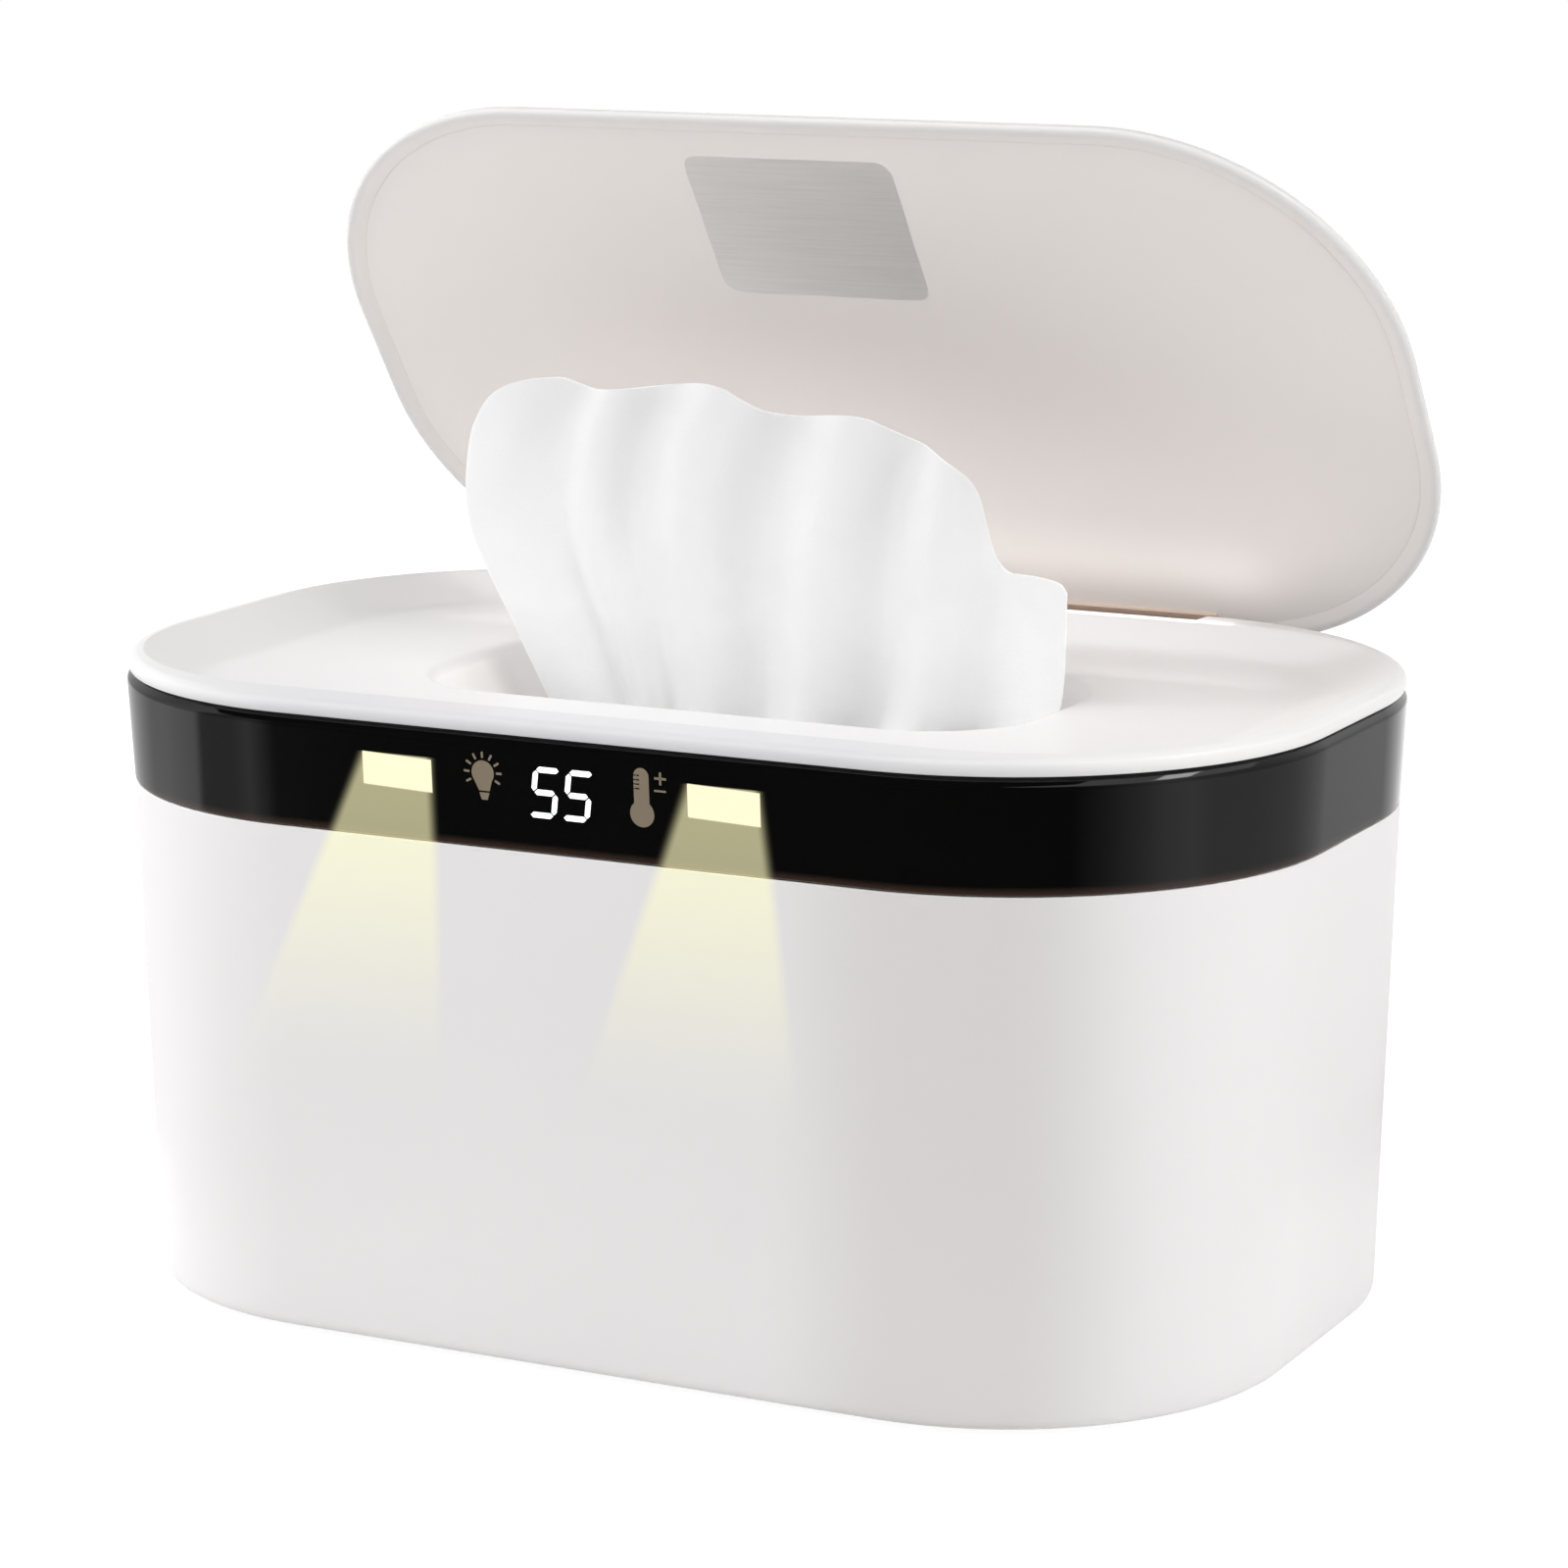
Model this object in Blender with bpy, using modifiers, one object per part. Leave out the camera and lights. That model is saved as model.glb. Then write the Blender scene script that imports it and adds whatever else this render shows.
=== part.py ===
# Baby wipe warmer with its lid standing half open and one wipe pulled up through the cover.
# Metres, +Z up, +X along the long side, -Y is the front with the display.
# The origin is the middle of the base plate's flat underside.
import math

import bmesh
import bpy
from mathutils import Matrix, Vector

for leftover in list(bpy.data.objects):
    bpy.data.objects.remove(leftover, do_unlink=True)

MM = 0.001

# Driving sizes of the housing, taken where the white shell meets the black band
BODY_LENGTH = 224.0 * MM
BODY_DEPTH = 140.0 * MM
CORNER_RADIUS = 56.4 * MM
SHELL_HEIGHT = 89.8 * MM
BAND_HEIGHT = 19.5 * MM
WALL = 2.4 * MM
GAP = 0.3 * MM
OVERRUN = 3.0 * MM
CORNER_STEPS = 12
ROUND_STEPS = 20
SMALL_STEPS = 12

# Outer shell
SHELL_DRAFT_LENGTH = 4.5 * MM
SHELL_DRAFT_DEPTH = 0.8 * MM
SHELL_DRAFT_RADIUS = 5.2 * MM
SHELL_EDGE = 2.4 * MM
SHELL_EDGE_INSET = 1.1 * MM
BOSS_RADIUS = 5.4 * MM
BOSS_BITE = 0.8 * MM
BOSS_HEIGHT = 14.0 * MM
BOSS_X_SHARE = 0.56

# Base plate, its vents, screws and feet
BASE_THICKNESS = 2.2 * MM
BASE_CHAMFER = 0.5 * MM
VENT_WIDTH = 3.0 * MM
VENT_LENGTH = 30.0 * MM
VENT_PITCH = 6.5 * MM
VENT_START = 22.0 * MM
VENTS_A_SIDE = 4
FOOT_RADIUS = 7.0 * MM
FOOT_DROP = 1.2 * MM
FOOT_RECESS = 1.0 * MM
FOOT_ROUND = 0.5 * MM
FOOT_X_SHARE = 0.69
FOOT_Y_SHARE = 0.58
SCREW_RADIUS = 1.2 * MM
SCREW_LENGTH = 9.0 * MM
SCREW_HEAD_RADIUS = 2.7 * MM
SCREW_HEAD_HEIGHT = 1.2 * MM

# Control band
BAND_FLARE = 0.9 * MM
BAND_BEVEL_HEIGHT = 1.4 * MM
BAND_BEVEL_INSET = 0.4 * MM
BAND_SPIGOT_DEPTH = 3.4 * MM
BAND_SPIGOT_WALL = 1.4 * MM
LEDGE_DEPTH = 3.0 * MM
LEDGE_THICKNESS = 1.6 * MM
LEDGE_BELOW_RIM = 7.9 * MM
WINDOW_LENGTH = 14.0 * MM
WINDOW_HEIGHT = 6.0 * MM
WINDOW_OFFSET = 31.0 * MM
WINDOW_BELOW_RIM = 7.9 * MM
WINDOW_DEPTH = 2.2 * MM

# Electronics behind the band
BOARD_LENGTH = 92.0 * MM
BOARD_HEIGHT = 13.0 * MM
BOARD_THICKNESS = 1.6 * MM
BOARD_SETBACK = 5.6 * MM
BAY_DEPTH = 0.2 * MM
BAY_MARGIN = 4.0 * MM
GUIDE_LENGTH = 3.6 * MM
GUIDE_DEPTH = 7.0 * MM
GUIDE_HEIGHT = 8.0 * MM
DISPLAY_LENGTH = 17.0 * MM
DISPLAY_HEIGHT = 10.6 * MM
DISPLAY_BELOW_RIM = 9.2 * MM
DISPLAY_POCKET = 1.0 * MM
LED_SIZE = 5.0 * MM
LED_THICKNESS = 1.1 * MM
TOUCH_RADIUS = 3.0 * MM
TOUCH_OFFSETS = {"touch_pad_light": -14.7 * MM, "touch_pad_heat": 15.6 * MM}

# Wipe tank, its heater and the wipes
TANK_MARGIN_LENGTH = 11.0 * MM
TANK_MARGIN_DEPTH = 14.0 * MM
TANK_RADIUS = 42.0 * MM
TANK_WALL = 1.8 * MM
TANK_FLOOR_Z = 12.0 * MM
TANK_TAPER = 2.2 * MM
TANK_FLOOR_ROUND = 5.0 * MM
TANK_FLANGE_MARGIN = 3.0 * MM
TANK_FLANGE_THICKNESS = 1.8 * MM
FILM_THICKNESS = 0.8 * MM
FILM_MARGIN = 7.0 * MM
PAD_MARGIN = 10.0 * MM
SENSOR_LENGTH = 7.0 * MM
SENSOR_THICKNESS = 2.4 * MM
SENSOR_HEIGHT = 4.0 * MM
SENSOR_Z = 34.0 * MM
SENSOR_OFFSETS = {"thermistor": -26.0 * MM, "thermal_cutoff": 14.0 * MM}
STACK_MARGIN_LENGTH = 6.0 * MM
STACK_MARGIN_DEPTH = 8.0 * MM
STACK_RADIUS = 12.0 * MM
STACK_CLEARANCE = 12.9 * MM
STACK_EDGE = 2.0 * MM

# Power inlet at the rear and the leads inside
INLET_OFFSET = 40.0 * MM
INLET_Z = 18.0 * MM
INLET_RADIUS = 4.6 * MM
INLET_BORE = 2.8 * MM
INLET_PIN = 0.9 * MM
INLET_BODY = 11.0 * MM
INLET_BODY_DEPTH = 8.0 * MM
INLET_PROUD = 0.5 * MM
INLET_FLOOR = 2.0 * MM
LEAD_RADIUS = 1.3 * MM
LEAD_Z = 18.0 * MM
HEATER_LEAD_OFFSET = 36.0 * MM
LEAD_BOARD_OFFSET = 42.0 * MM

# Top cover: rim, dished top and funnel round the wipe opening
RIM_FLARE = 0.8 * MM
RIM_FOOT_FLARE = 0.4 * MM
RIM_SIDE_HEIGHT = 1.0 * MM
RIM_ROUND = 1.6 * MM
CREST_RISE = 3.1 * MM
CREST_INSET_LENGTH = 2.7 * MM
CREST_INSET_DEPTH = 7.7 * MM
CREST_RADIUS = 45.0 * MM
CREST_ROUND = 0.8 * MM
DISH_DEPTH = 4.9 * MM
DISH_INSET_LENGTH = 17.0 * MM
DISH_INSET_DEPTH = 15.4 * MM
DISH_RADIUS = 31.0 * MM
DISH_ROUND = 1.6 * MM
OPENING_LENGTH = 116.4 * MM
OPENING_DEPTH = 57.6 * MM
OPENING_RADIUS = 20.0 * MM
OPENING_ROUND = 1.2 * MM
FUNNEL_DEPTH = 10.5 * MM
FUNNEL_TAPER = 5.0 * MM
COVER_WALL = 1.6 * MM
SKIRT_DEPTH = 3.0 * MM
SKIRT_WALL = 1.6 * MM
SKIRT_CLEARANCE = 0.4 * MM
SEAL_WIDTH = 2.0 * MM
SEAL_INSET = 1.0 * MM

# Hinge, its pocket in the cover and the lid's arms
HINGE_DROP = 22.4 * MM
HINGE_INSET = 6.7 * MM
LID_OPEN_ANGLE = math.radians(55.7)
PIN_RADIUS = 1.5 * MM
KNUCKLE_RADIUS = 3.4 * MM
ARM_END_WIDTH = 9.8 * MM
ARM_SLIT_WIDTH = 0.8 * MM
ARM_THICKNESS = 3.0 * MM
ARM_NECK = 2.0 * MM
ARM_ANGLE = math.radians(7.5)
ARM_LIP_CLEARANCE = 0.2 * MM
ARM_PLATE_REACH = 9.3 * MM
ARM_PLATE_THICKNESS = 1.3 * MM
ARM_BRIDGE = 1.0 * MM
ARM_ARC_STEPS = 6
WASHER_THICKNESS = 1.1 * MM
WASHER_RADIUS = 3.2 * MM
POCKET_WALL = 1.4 * MM
POCKET_CLEARANCE = 0.5 * MM
POCKET_CREST_WALL = 1.3 * MM

# Lid
LID_MARGIN_LENGTH = 2.6 * MM
LID_MARGIN_DEPTH = 2.2 * MM
LID_RADIUS = 50.25 * MM
LID_LIFT = 0.6 * MM
LID_HEIGHT = 5.2 * MM
LID_SKIRT = 1.1 * MM
LID_LIP = 0.5 * MM
LID_LIP_WIDTH = 2.2 * MM
LID_BORDER = 3.8 * MM
LID_BORDER_RISE = 0.9 * MM
LID_TOP_WALL = 1.8 * MM
LID_CROWN_INSET = 30.0 * MM
LID_CROWN = 0.5 * MM
LINER_THICKNESS = 1.2 * MM

# The wipe that stands up through the opening
SHEET_THICKNESS = 1.0 * MM
SHEET_HEIGHT = 76.0 * MM
SHEET_COLUMNS = 46
SHEET_ROWS = 11
SHEET_FOLD_DEPTH = 5.0 * MM
SHEET_GATHER_SHARE = 0.45

# Levels and places that follow from the sizes above
HALF_LENGTH = BODY_LENGTH / 2
HALF_DEPTH = BODY_DEPTH / 2
RIM_LINE = SHELL_HEIGHT + BAND_HEIGHT
SHELL_TOP = SHELL_HEIGHT - GAP / 2
BAND_BOTTOM = SHELL_HEIGHT + GAP / 2
BAND_TOP = RIM_LINE - GAP / 2
COVER_BOTTOM = RIM_LINE + GAP / 2
CREST_Z = RIM_LINE + CREST_RISE
DISH_Z = CREST_Z - DISH_DEPTH
COVER_UNDERSIDE = DISH_Z - COVER_WALL
FUNNEL_BOTTOM = DISH_Z - FUNNEL_DEPTH
LEDGE_TOP = RIM_LINE - LEDGE_BELOW_RIM
FLANGE_BOTTOM = LEDGE_TOP + GAP
FLANGE_TOP = FLANGE_BOTTOM + TANK_FLANGE_THICKNESS
BAND_INSIDE = HALF_DEPTH - WALL
BOARD_FACE = HALF_DEPTH - BOARD_SETBACK
HINGE_Y = HALF_DEPTH - HINGE_INSET
HINGE_Z = CREST_Z - HINGE_DROP
LID_LIP_Z = CREST_Z + LID_LIFT
ARM_HALF_WIDTH = HALF_LENGTH - CORNER_RADIUS
LID_HALF_DEPTH = HALF_DEPTH - CREST_INSET_DEPTH - LID_MARGIN_DEPTH
POCKET_FRONT = HINGE_Y - KNUCKLE_RADIUS - POCKET_CLEARANCE
POCKET_FLOOR = HINGE_Z - KNUCKLE_RADIUS - POCKET_CLEARANCE
POCKET_HALF_WIDTH = ARM_HALF_WIDTH + WASHER_THICKNESS + 2 * GAP
POCKET_CREST = HALF_DEPTH - CREST_INSET_DEPTH + POCKET_CREST_WALL
STACK_TOP = FUNNEL_BOTTOM - STACK_CLEARANCE
SHEET_BOTTOM = STACK_TOP + GAP

# Outline of the wipe sheet, seen from the front: its side edges at some levels, as shares of its height and
# of half the opening's length, and its top edge at some places, as shares of its width and height
SHEET_LEVEL_SHARES = (0.0, 0.18, 0.25, 0.31, 0.45, 0.58, 0.70, 0.86, 1.0)
SHEET_LEFT_SHARES = (-0.60, -0.69, -0.75, -0.83, -0.94, -0.98, -1.0, -0.96, -0.89)
SHEET_RIGHT_SHARES = (0.74, 0.84, 0.90, 0.94, 0.99, 1.01, 1.01, 1.01, 1.01)
SHEET_PLACE_SHARES = (0.0, 0.06, 0.16, 0.23, 0.41, 0.51, 0.67, 0.77, 0.86, 0.885, 0.91, 1.0)
SHEET_TOP_SHARES = (0.93, 0.965, 0.985, 0.965, 1.0, 0.93, 0.94, 0.89, 0.80, 0.68, 0.59, 0.58)

# Its folds fan out from the opening: the places of the edges and of five valleys at its foot and at its
# crown, as shares of its width, and how many folds have passed there
SHEET_FOOT_SHARES = (0.0, 0.13, 0.23, 0.40, 0.61, 0.87, 1.0)
SHEET_CROWN_SHARES = (0.0, 0.18, 0.31, 0.535, 0.745, 0.885, 1.0)
SHEET_PHASE_SHARES = (-0.6, 0.0, 1.0, 2.0, 3.0, 4.0, 4.6)

parts = bpy.data.collections.new("wipe_warmer")
cutters = bpy.data.collections.new("cutters")
bpy.context.scene.collection.children.link(parts)
bpy.context.scene.collection.children.link(cutters)


# Small helpers


def finish(name, colour, roughness, metallic=0.0, coat=0.0):
    made = bpy.data.materials.new(name)
    made.use_nodes = True
    shader = made.node_tree.nodes["Principled BSDF"]
    shader.inputs["Base Color"].default_value = (*colour, 1.0)
    shader.inputs["Roughness"].default_value = roughness
    shader.inputs["Metallic"].default_value = metallic
    shader.inputs["Coat Weight"].default_value = coat
    made.diffuse_color = (*colour, 1.0)
    return made


def keep(obj, material, smooth_angle=30.0):
    """Files an object with the parts, with its own finish and smooth shading."""
    for collection in list(obj.users_collection):
        collection.objects.unlink(obj)
    parts.objects.link(obj)
    obj.data.materials.clear()
    obj.data.materials.append(material)
    if obj.type == "MESH":
        obj.data.shade_smooth()
        obj.data.set_sharp_from_angle(angle=math.radians(smooth_angle))
    return obj


def to_cutters(obj):
    for collection in list(obj.users_collection):
        collection.objects.unlink(obj)
    cutters.objects.link(obj)
    obj.hide_render = True
    obj.display_type = "WIRE"
    return obj


def combine(obj, other, operation):
    """Adds a Boolean modifier: the other object is a hidden tool for this one."""
    to_cutters(other)
    step = obj.modifiers.new(other.name, "BOOLEAN")
    step.operation = operation
    step.solver = "EXACT"
    step.object = other
    return obj


def cut(obj, other):
    return combine(obj, other, "DIFFERENCE")


def join(obj, other):
    return combine(obj, other, "UNION")


def new_object(name, mesh_builder):
    mesh = bpy.data.meshes.new(name)
    bm = bmesh.new()
    mesh_builder(bm)
    bmesh.ops.recalc_face_normals(bm, faces=bm.faces)
    bm.to_mesh(mesh)
    bm.free()
    obj = bpy.data.objects.new(name, mesh)
    parts.objects.link(obj)
    return obj


def outline(half_length, half_depth, radius, steps=CORNER_STEPS):
    """Points of a rounded rectangle, anticlockwise from its right side."""
    radius = min(radius, half_length, half_depth)
    points = []
    for quarter, (sx, sy) in enumerate(((1, 1), (-1, 1), (-1, -1), (1, -1))):
        for step in range(steps + 1):
            angle = math.pi / 2 * (quarter + step / steps)
            x = sx * (half_length - radius) + radius * math.cos(angle)
            y = sy * (half_depth - radius) + radius * math.sin(angle)
            points.append((x, y))
    return points


def loft(name, sections, ring=False, steps=CORNER_STEPS):
    """Skins rounded rectangles (half length, half depth, radius, z). A ring joins its last to its first."""

    def build(bm):
        loops = []
        for half_length, half_depth, radius, z in sections:
            points = outline(half_length, half_depth, radius, steps)
            loops.append([bm.verts.new((x, y, z)) for x, y in points])
        pairs = list(zip(loops, loops[1:]))
        if ring:
            pairs.append((loops[-1], loops[0]))
        else:
            bm.faces.new(loops[0])
            bm.faces.new(loops[-1])
        for lower, upper in pairs:
            for i in range(len(lower)):
                j = (i + 1) % len(lower)
                bm.faces.new((lower[i], lower[j], upper[j], upper[i]))

    return new_object(name, build)


def box(name, low, high):
    """A box between two corners."""
    low, high = Vector(low), Vector(high)

    def build(bm):
        bmesh.ops.create_cube(bm, size=1.0)
        bmesh.ops.scale(bm, vec=high - low, verts=bm.verts)

    obj = new_object(name, build)
    obj.location = (low + high) / 2
    return obj


def rod(name, radius, start, end, steps=ROUND_STEPS):
    """A round rod between two points."""
    start, end = Vector(start), Vector(end)

    def build(bm):
        bmesh.ops.create_cone(
            bm, cap_ends=True, segments=steps, radius1=radius, radius2=radius, depth=(end - start).length
        )

    obj = new_object(name, build)
    obj.location = (start + end) / 2
    obj.rotation_mode = "QUATERNION"
    obj.rotation_quaternion = (end - start).to_track_quat("Z", "Y")
    return obj


def prism(name, points, thickness, place):
    """A flat outline given a thickness, made from a filled 2D curve and turned into a welded mesh."""
    curve = bpy.data.curves.new(name, "CURVE")
    curve.dimensions = "2D"
    curve.fill_mode = "BOTH"
    curve.extrude = thickness / 2
    spline = curve.splines.new("POLY")
    spline.points.add(len(points) - 1)
    for point, (x, y) in zip(spline.points, points):
        point.co = (x, y, 0, 1)
    spline.use_cyclic_u = True
    guide = bpy.data.objects.new(name + "_outline", curve)
    guide.matrix_world = place
    parts.objects.link(guide)
    bpy.context.view_layer.update()
    mesh = bpy.data.meshes.new_from_object(guide.evaluated_get(bpy.context.evaluated_depsgraph_get()))
    bm = bmesh.new()
    bm.from_mesh(mesh)
    bmesh.ops.remove_doubles(bm, verts=bm.verts, dist=GAP / 100)
    bmesh.ops.recalc_face_normals(bm, faces=bm.faces)
    bm.to_mesh(mesh)
    bm.free()
    obj = bpy.data.objects.new(name, mesh)
    obj.matrix_world = guide.matrix_world
    parts.objects.link(obj)
    bpy.data.objects.remove(guide, do_unlink=True)
    return obj


def lead(name, points, radius):
    """A round wire along a list of points."""
    curve = bpy.data.curves.new(name, "CURVE")
    curve.dimensions = "3D"
    curve.bevel_depth = radius
    curve.bevel_resolution = 2
    curve.use_fill_caps = True
    spline = curve.splines.new("POLY")
    spline.points.add(len(points) - 1)
    for point, place in zip(spline.points, points):
        point.co = (*place, 1)
    obj = bpy.data.objects.new(name, curve)
    parts.objects.link(obj)
    return obj


def smooth_route(points, steps):
    """A Catmull-Rom curve through the points, with the same number of steps in each span."""
    points = [Vector(p) for p in points]
    ends = [2 * points[0] - points[1]] + points + [2 * points[-1] - points[-2]]
    route = []
    for a, b, c, d in zip(ends, ends[1:], ends[2:], ends[3:]):
        for step in range(steps):
            t = step / steps
            bend = (2 * a - 5 * b + 4 * c - d) * t * t + (3 * b - a - 3 * c + d) * t**3
            route.append((2 * b + (c - a) * t + bend) / 2)
    return route + [points[-1]]


def between(value, levels, values):
    """Straight-line reading of a table."""
    for low, high, first, last in zip(levels, levels[1:], values, values[1:]):
        if value <= high:
            return first + (last - first) * (value - low) / (high - low)
    return values[-1]


def plan(inset, z):
    """The housing's outline moved in by an inset, at the parting line."""
    return (HALF_LENGTH - inset, HALF_DEPTH - inset, CORNER_RADIUS - inset, z)


def drafted(inset, z):
    """The shell's outline moved in by an inset: it narrows towards the floor."""
    share = (SHELL_HEIGHT - z) / SHELL_HEIGHT
    return (
        HALF_LENGTH - SHELL_DRAFT_LENGTH * share - inset,
        HALF_DEPTH - SHELL_DRAFT_DEPTH * share - inset,
        CORNER_RADIUS - SHELL_DRAFT_RADIUS * share - inset,
        z,
    )


def depth_at(section, x):
    """How far a section reaches from the middle line at a place along its length."""
    half_length, half_depth, radius, _ = section
    beyond = max(abs(x) - (half_length - radius), 0.0)
    return half_depth - radius + math.sqrt(radius**2 - beyond**2)


# Finishes
WHITE_ABS = finish("white_abs", (0.86, 0.86, 0.86), 0.28, coat=0.2)
COVER_ABS = finish("cover_abs", (0.88, 0.88, 0.88), 0.3, coat=0.2)
LINER_ABS = finish("liner_abs", (0.72, 0.69, 0.67), 0.35)
HINGE_ABS = finish("hinge_abs", (0.42, 0.35, 0.30), 0.45)
BLACK_GLOSS = finish("black_gloss", (0.012, 0.012, 0.013), 0.08, coat=0.6)
WINDOW_PC = finish("window_polycarbonate", (1.0, 0.95, 0.66), 0.3)
TANK_PP = finish("tank_polypropylene", (0.78, 0.78, 0.76), 0.45)
BASE_PP = finish("base_polypropylene", (0.80, 0.80, 0.80), 0.5)
RUBBER = finish("foot_rubber", (0.55, 0.55, 0.55), 0.8)
SILICONE = finish("seal_silicone", (0.75, 0.75, 0.73), 0.6)
STEEL = finish("zinc_steel", (0.62, 0.62, 0.64), 0.3, metallic=1.0)
NYLON = finish("washer_nylon", (0.70, 0.69, 0.64), 0.5)
FOIL = finish("heater_foil", (0.80, 0.80, 0.82), 0.25, metallic=1.0)
FOAM = finish("insulation_foam", (0.20, 0.20, 0.21), 0.95)
BOARD = finish("board_laminate", (0.02, 0.20, 0.07), 0.5)
BLACK_PLASTIC = finish("component_plastic", (0.03, 0.03, 0.03), 0.5)
LED = finish("led_package", (0.95, 0.90, 0.55), 0.4)
COPPER_FOAM = finish("touch_foam", (0.45, 0.36, 0.22), 0.5, metallic=0.6)
WIRE_PVC = finish("wire_pvc", (0.10, 0.10, 0.11), 0.5)
NONWOVEN = finish("nonwoven_wipe", (0.90, 0.90, 0.90), 0.9)


def make_outer_shell():
    """Drafted side wall, open above and below, with four screw bosses and the inlet's hole."""
    shell = loft(
        "outer_shell",
        [
            drafted(SHELL_EDGE_INSET, 0.0),
            drafted(SHELL_EDGE_INSET / 4, SHELL_EDGE / 3),
            drafted(0.0, SHELL_EDGE),
            drafted(0.0, SHELL_HEIGHT / 2),
            drafted(0.0, SHELL_TOP),
            drafted(WALL, SHELL_TOP),
            drafted(WALL, SHELL_HEIGHT / 2),
            drafted(WALL, 0.0),
        ],
        ring=True,
    )
    keep(shell, WHITE_ABS)
    low = BASE_THICKNESS + GAP
    for name, (x, y) in screw_places().items():
        boss = rod(name + "_boss", BOSS_RADIUS, (x, y, low), (x, y, low + BOSS_HEIGHT), SMALL_STEPS)
        join(shell, boss)
    for name, (x, y) in screw_places().items():
        low, high = (x, y, 0.0), (x, y, SCREW_LENGTH + OVERRUN)
        cut(shell, rod(name + "_hole", SCREW_RADIUS + GAP, low, high, SMALL_STEPS))
    rear = HALF_DEPTH + OVERRUN
    hole = rod(
        "inlet_hole",
        INLET_RADIUS + GAP,
        (INLET_OFFSET, HALF_DEPTH - WALL - OVERRUN, INLET_Z),
        (INLET_OFFSET, rear, INLET_Z),
    )
    cut(shell, hole)
    return shell


def screw_places():
    """Where the four base screws go: against the inside of the long walls."""
    x = HALF_LENGTH * BOSS_X_SHARE
    y = depth_at(drafted(WALL, 0.0), x) - BOSS_RADIUS + BOSS_BITE
    return {
        "base_screw_front_left": (-x, -y),
        "base_screw_front_right": (x, -y),
        "base_screw_rear_left": (-x, y),
        "base_screw_rear_right": (x, y),
    }


def foot_places():
    x = HALF_LENGTH * FOOT_X_SHARE
    y = HALF_DEPTH * FOOT_Y_SHARE
    return {
        "foot_front_left": (-x, -y),
        "foot_front_right": (x, -y),
        "foot_rear_left": (-x, y),
        "foot_rear_right": (x, y),
    }


def make_base():
    """Plate that closes the shell from below, with vents, foot recesses and screw seats."""
    inset = WALL + GAP
    plate = loft(
        "base_plate",
        [
            drafted(inset + BASE_CHAMFER, 0.0),
            drafted(inset, BASE_CHAMFER),
            drafted(inset, BASE_THICKNESS),
        ],
    )
    keep(plate, BASE_PP)
    for side in (-1, 1):
        for index in range(VENTS_A_SIDE):
            x = side * (VENT_START + VENT_PITCH * index)
            slot = loft(
                f"vent_{side}_{index}",
                [
                    (VENT_WIDTH / 2, VENT_LENGTH / 2, VENT_WIDTH / 2, -OVERRUN),
                    (VENT_WIDTH / 2, VENT_LENGTH / 2, VENT_WIDTH / 2, BASE_THICKNESS + OVERRUN),
                ],
                steps=2,
            )
            slot.location.x = x
            cut(plate, slot)
    for name, (x, y) in foot_places().items():
        cut(plate, rod(name + "_recess", FOOT_RADIUS + GAP, (x, y, -OVERRUN), (x, y, FOOT_RECESS)))
        make_foot(name, x, y)
    seat = SCREW_HEAD_HEIGHT + GAP
    for name, (x, y) in screw_places().items():
        low, high = (x, y, -OVERRUN), (x, y, BASE_THICKNESS + OVERRUN)
        cut(plate, rod(name + "_way", SCREW_RADIUS + GAP, low, high, SMALL_STEPS))
        cut(plate, rod(name + "_seat", SCREW_HEAD_RADIUS + GAP, low, (x, y, seat), SMALL_STEPS))
        make_screw(name, x, y)


def turned(name, profile, x, y, material, steps=ROUND_STEPS):
    """A solid of revolution about a vertical axis: its profile runs down the outer side."""
    mesh = bpy.data.meshes.new(name)
    mesh.from_pydata([(radius, 0, z) for radius, z in profile], [(i, i + 1) for i in range(len(profile) - 1)], [])
    obj = bpy.data.objects.new(name, mesh)
    obj.location = (x, y, 0)
    parts.objects.link(obj)
    screw = obj.modifiers.new("turn", "SCREW")
    screw.steps = steps
    screw.render_steps = steps
    screw.use_merge_vertices = True
    screw.merge_threshold = MM / 100
    return keep(obj, material)


def make_foot(name, x, y):
    top = FOOT_RECESS - GAP
    profile = [
        (0.0, top),
        (FOOT_RADIUS, top),
        (FOOT_RADIUS, FOOT_ROUND - FOOT_DROP),
        (FOOT_RADIUS - FOOT_ROUND, -FOOT_DROP),
        (0.0, -FOOT_DROP),
    ]
    turned(name, profile, x, y, RUBBER)


def make_screw(name, x, y):
    head_top = SCREW_HEAD_HEIGHT
    profile = [
        (0.0, SCREW_LENGTH + head_top),
        (SCREW_RADIUS / 2, SCREW_LENGTH + head_top),
        (SCREW_RADIUS, SCREW_LENGTH),
        (SCREW_RADIUS, head_top),
        (SCREW_HEAD_RADIUS, head_top),
        (SCREW_HEAD_RADIUS, head_top / 2),
        (SCREW_HEAD_RADIUS / 2, 0.0),
        (0.0, 0.0),
    ]
    turned(name, profile, x, y, STEEL, SMALL_STEPS)


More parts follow.
